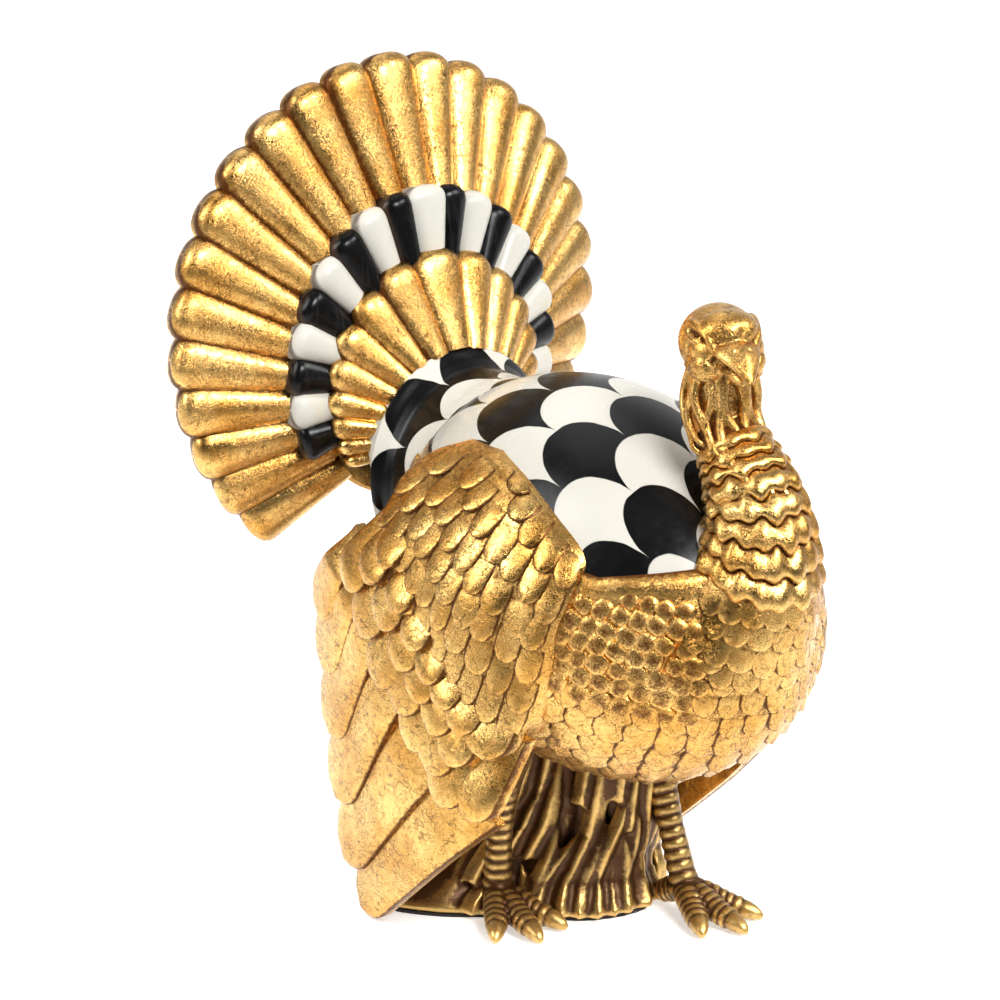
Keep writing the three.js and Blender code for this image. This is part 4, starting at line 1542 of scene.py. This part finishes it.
# Toes: degrees from straight ahead, and length.
TOES = [(-29, 35), (0, 40), (29, 35), (180, 22)]
# Toe and claw: share of the length, length beyond that, height and radius.
TOE_RUN = [(0, -2, 12, 7.2), (0.3, 0, 10.5, 7), (0.6, 0, 7.5, 6.2), (0.84, 0, 6, 5.4)]
CLAW_RUN = [(0.8, 0, 6.2, 4.6), (0.92, 0, 5.4, 4.6), (1, 2, 4, 3.2), (1, 5, 2.4, 1.3)]
SCUTE_PITCH = 5.2
TOE_RING = 4.2


def shank_middle(leg, z):
    y = mix(leg["ankle"], leg["hip"], np.maximum(0, (z - 15) / (THIGH_TOP - 15)))
    return np.stack([leg["side"] * LEG_HALF_SPACING + 0 * z, y, z], -1)


def shank(leg):
    """Leg with rings of scutes at its front, from the foot up into the thigh."""
    z = np.linspace(10, THIGH_TOP, 160)
    heights, thicker = LEG_PROFILE.T
    radius = np.interp(z, heights, SHANK_RADIUS + thicker)
    front = ease(0.5 - 0.9 * np.sin(turns(40)))
    rolls = np.abs(np.sin(np.pi * z / SCUTE_PITCH)) ** 0.6
    bulge = 1.3 * (rolls * (1 - ease((z - 58) / 16)))[:, None] * mix(0.35, 1, front)
    return skin(limb_rings(shank_middle(leg, z), radius - 0.6, 40, (1, 0, 0), bulge))


def toe_run(leg, splay, length, stations, steps):
    """Way out, middles and radii along a toe or its claw."""
    share, beyond, z, radius = np.array(stations).T
    fine = curve_through(np.stack([share * length + beyond, z, radius], -1), np.linspace(0, 1, steps))
    angle = math.radians(splay + leg["turn"])
    way = np.array([-math.sin(angle), -math.cos(angle), 0])
    ankle = shank_middle(leg, np.array(ANKLE_HEIGHT))
    middles = ankle * [1, 1, 0] + fine[:, :1] * way + fine[:, 1:2] * [0, 0, 1]
    return fine[:, 0], middles, fine[:, 2]


def leg_piece(key):
    leg = LEGS[key]
    shells = [shank(leg)]
    for splay, length in TOES:
        out, middles, radius = toe_run(leg, splay, length, TOE_RUN, 60)
        rings = np.abs(np.sin(np.pi * out / TOE_RING)) ** 0.6
        shells.append(skin(limb_rings(middles, radius - 0.9 + rings, 28, (0, 0, 1))))
        _, middles, radius = toe_run(leg, splay, length, CLAW_RUN, 20)
        shells.append(skin(limb_rings(middles, radius, 20, (0, 0, 1))))
    made = fused(key + "_leg_cast", shells, 0.6, 2)
    return finished(made, BRONZE, "antique_bronze", key + "_leg", sharp=80)


# Base: a clump of grass blades

BASE_SPREAD = 82
BASE_CENTRE = 35
BASE_FLOOR = 1.8
FLUTE_COUNT = 17
BASE_OUTLINE = [
    (-0.95, 0.12),
    (-0.78, -0.16),
    (-0.57, -0.35),
    (-0.27, -0.65),
    (-0.06, -0.83),
    (0.3, -0.89),
    (0.56, -0.67),
    (0.73, -0.37),
    (0.93, 0),
    (1, 0.26),
    (0.8, 0.61),
    (0.37, 0.79),
    (0, 0.84),
    (-0.37, 0.79),
    (-0.8, 0.61),
    (-0.95, 0.34),
]
# Rings of the clump: height, share of the outline, depth of the flutes, lean to the left foot.
BASE_RINGS = np.array([
    (0, 0.94, 0, 0),
    (2.5, 0.95, 0, 0),
    (7, 0.9, 1, 0),
    (16, 0.78, 2.5, 3),
    (45, 0.68, 2.5, 13),
    (83, 0.6, 2.5, 18),
    (123, 0.56, 2.5, 18),
])
# No blades grow at the clump's right end, where the outline's x is below this.
BARE_SIDE = -0.72
# Tiers of blades: count, lowest and highest root, least and greatest height.
BLADE_TIERS = [(44, 0.5, 1.5, 24, 46), (36, 6, 28, 42, 62), (32, 36, 60, 44, 60)]


def outline_at(share):
    closed = np.array(BASE_OUTLINE + BASE_OUTLINE[:3])
    x = (np.asarray(share) % 1) * len(BASE_OUTLINE)
    return curve_through(closed, (x + 1) / (len(closed) - 1))


def clump_point(share, z, out):
    """Place on the clump at a share of its outline and a height; out is how far it stands off."""
    size, lean = [np.interp(z, BASE_RINGS[:, 0], BASE_RINGS[:, k]) for k in (1, 3)]
    radial = outline_at(share) * (size * BASE_SPREAD)[..., None]
    radial = radial + unit(radial) * np.asarray(out)[..., None]
    return np.stack([radial[..., 0] + lean, BASE_CENTRE + radial[..., 1] - lean, BASE_FLOOR + z], -1)


def blade(share, root, height, width, lean, bow):
    """Blade that hugs the clump: broad, with a sharp crest, bowed and drawn to a leaning tip."""
    t = np.linspace(0, 1, 20)
    z = np.minimum(root + height * t, 122)
    sway = share + lean * (t**1.8 - 0.35 * np.sin(np.pi * t))
    off = bow * np.sin(np.pi * t) + 1.2 * (1 - t)
    middle = clump_point(sway, z, off)
    beside = clump_point(sway + 0.002, z, off)
    along = unit(beside - middle)
    outward = unit(np.cross(along, (0, 0, 1)))
    swell = mix(0.75, 1, np.sin(np.pi * np.minimum(1, t + 0.25)))
    half = 0.5 * width * (1 - t**3) ** 0.8 * swell + 0.35
    turn = turns(16)
    crest = np.where(np.sin(turn) > 0, 0.85 * (1 - np.abs(np.cos(turn))), -0.4 * np.abs(np.sin(turn)))
    rings = middle[:, None] + half[:, None, None] * (
        np.cos(turn)[:, None] * along[:, None] + crest[:, None] * outward[:, None]
    )
    return skin(rings)


def clump():
    """Fluted body that carries the blades."""
    share = np.arange(160) / 160
    heights = np.array([0, 1.2, 2.5, 4.5, 7, 11, 16, 24, 34, 45, 60, 83, 103, 123])
    rings = []
    for z, flute in zip(heights, np.interp(heights, BASE_RINGS[:, 0], BASE_RINGS[:, 2])):
        wave = flute * np.cos(2 * np.pi * FLUTE_COUNT * share + 0.04 * z)
        rings.append(clump_point(share, np.full(160, z), wave - min(flute, 1.5)))
    return skin(np.array(rings))


def grass_clump():
    shells = [clump()]
    for count, low, high, least, most in BLADE_TIERS:
        for i in range(count):
            at = (i + dice.uniform(-0.35, 0.35)) / count
            if outline_at(at)[0] < BARE_SIDE:
                continue
            root, height = dice.uniform(low, high), dice.uniform(least, most)
            width, lean, bow = dice.uniform(8, 13), dice.uniform(-0.04, 0.04), dice.uniform(1, 3.5)
            bow += 7 * ease((outline_at(at)[0] - 0.45) / 0.2)
            shells.append(blade(at, root, height, width, lean, bow))
    made = fused("grass_clump", shells, 1.25, 1)
    return finished(made, BRONZE, "antique_bronze", "base_grass", sharp=80)


# Pieces that stay as they were built, with their finish

KEPT_FINISHES = {
    "base_felt": FELT,
    "base_post": STEEL,
    "right_leg_rod": STEEL,
    "left_leg_rod": STEEL,
    "body_core": FOAM,
    "neck_dowel": WOOD,
    "right_wing_pin_front": STEEL,
    "right_wing_pin_rear": STEEL,
    "left_wing_pin_front": STEEL,
    "left_wing_pin_rear": STEEL,
    "tail_dowel_right": WOOD,
    "tail_dowel_left": WOOD,
}


def finish_kept_nodes():
    for name, finish in KEPT_FINISHES.items():
        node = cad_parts[name]
        node.data.materials.clear()
        node.data.materials.append(finish)


# Floor, light and camera

CAMERA_AZIMUTH = -39.25
CAMERA_ELEVATION = 16.3
CAMERA_DISTANCE = 2.2
CAMERA_TARGET = Vector((0, 0.0535, 0.1945))
CAMERA_LENS = 161.63
CAMERA_SHIFT = (0.0054, -0.0007)
FLOOR_REACH = 14


def way_to(azimuth, elevation):
    """Direction from the figure; an azimuth of 0 looks at its front, and a negative one at its right."""
    a, e = math.radians(azimuth), math.radians(elevation)
    return Vector((math.sin(a) * math.cos(e), -math.cos(a) * math.cos(e), math.sin(e)))


def camera():
    lens = bpy.data.cameras.new("camera")
    lens.lens = CAMERA_LENS
    lens.sensor_width = 36
    lens.shift_x, lens.shift_y = CAMERA_SHIFT
    made = linked("camera", lens)
    back = way_to(CAMERA_AZIMUTH, CAMERA_ELEVATION)
    made.location = CAMERA_TARGET + back * CAMERA_DISTANCE
    made.rotation_mode = "QUATERNION"
    made.rotation_quaternion = (-back).to_track_quat("-Z", "Y")
    bpy.context.scene.camera = made


def floor():
    """Pale paper that glows a little behind the figure and turns grey far in front of it."""
    mesh = bpy.data.meshes.new("floor")
    corners = [(x * FLOOR_REACH, y * FLOOR_REACH, 0) for x, y in ((-1, -1), (1, -1), (1, 1), (-1, 1))]
    mesh.from_pydata(corners, [], [(0, 1, 2, 3)])
    made = linked("floor", mesh)
    material, tree, shader = new_finish("pale_floor")
    away = -way_to(CAMERA_AZIMUTH, 0)
    behind = vector_math(tree, "DOT_PRODUCT", object_place(tree), away, "Value")
    paper = tint(tree, fit(tree, behind, -0.95, -0.45), (0.25, 0.25, 0.25), (0.86, 0.86, 0.86))
    glow = fit(tree, behind, -0.4, 0.3, 0.1, 0.9)
    coat(tree, shader, Base_Color=paper, Roughness=0.7, Emission_Strength=glow)
    coat(tree, shader, Emission_Color=(1, 1, 1, 1))
    mesh.materials.append(material)


def soft_light(name, azimuth, elevation, distance, size, watts, spread):
    lamp = bpy.data.lights.new(name, "AREA")
    lamp.shape = "RECTANGLE"
    lamp.size, lamp.size_y = size
    lamp.energy = watts
    lamp.spread = math.radians(spread)
    made = linked(name, lamp)
    back = way_to(azimuth, elevation)
    made.location = CAMERA_TARGET + back * distance
    made.rotation_mode = "QUATERNION"
    made.rotation_quaternion = back.to_track_quat("Z", "Y")


def studio_air():
    """World light: pale behind the figure, grey to the sides, dark on the camera's side."""
    world = bpy.data.worlds.new("studio")
    world.use_nodes = True
    tree = world.node_tree
    direction = put(tree, "ShaderNodeTexCoord").outputs["Generated"]
    nearness = vector_math(tree, "DOT_PRODUCT", direction, way_to(CAMERA_AZIMUTH, 0), "Value")
    pale = tint(tree, fit(tree, nearness, -0.9, -0.4), (0.9, 0.9, 0.9), (0.18, 0.18, 0.18))
    colour = tint(tree, fit(tree, nearness, 0.3, 0.9), pale, (0.012, 0.01, 0.008))
    tree.links.new(colour, tree.nodes["Background"].inputs["Color"])
    return world


def studio():
    bpy.context.scene.world = studio_air()
    soft_light("left_softbox", -105, 35, 1.5, (0.6, 1.2), 3.4, 70)
    soft_light("front_softbox", -8, 40, 1.9, (0.9, 0.5), 5.5, 60)
    soft_light("right_softbox", 40, 40, 1.9, (1.0, 0.6), 2.8, 60)
    soft_light("top_softbox", 160, 70, 1.7, (1.1, 1.1), 4.5, 180)
    bpy.context.scene.view_settings.view_transform = "Standard"


camera()
floor()
studio()
finish_kept_nodes()
breast = breast_surface()
body_piece(breast)
painted_back()
wing_piece(-1, "right_wing_cast", "right_wing")
wing_piece(1, "left_wing_cast", "left_wing")
painted_collar()
tail_row("outer_tail_feathers", "outer", GOLD, "gold_leaf", "tail_outer_row", [tail_plate()])
tail_row("middle_tail_feathers", "middle", STRIPED, "painted_tail", "tail_middle_row")
tail_row("inner_tail_feathers", "inner", GOLD, "gold_leaf", "tail_inner_row")
neck_cape(breast)
head_and_throat()
leg_piece("right")
leg_piece("left")
grass_clump()
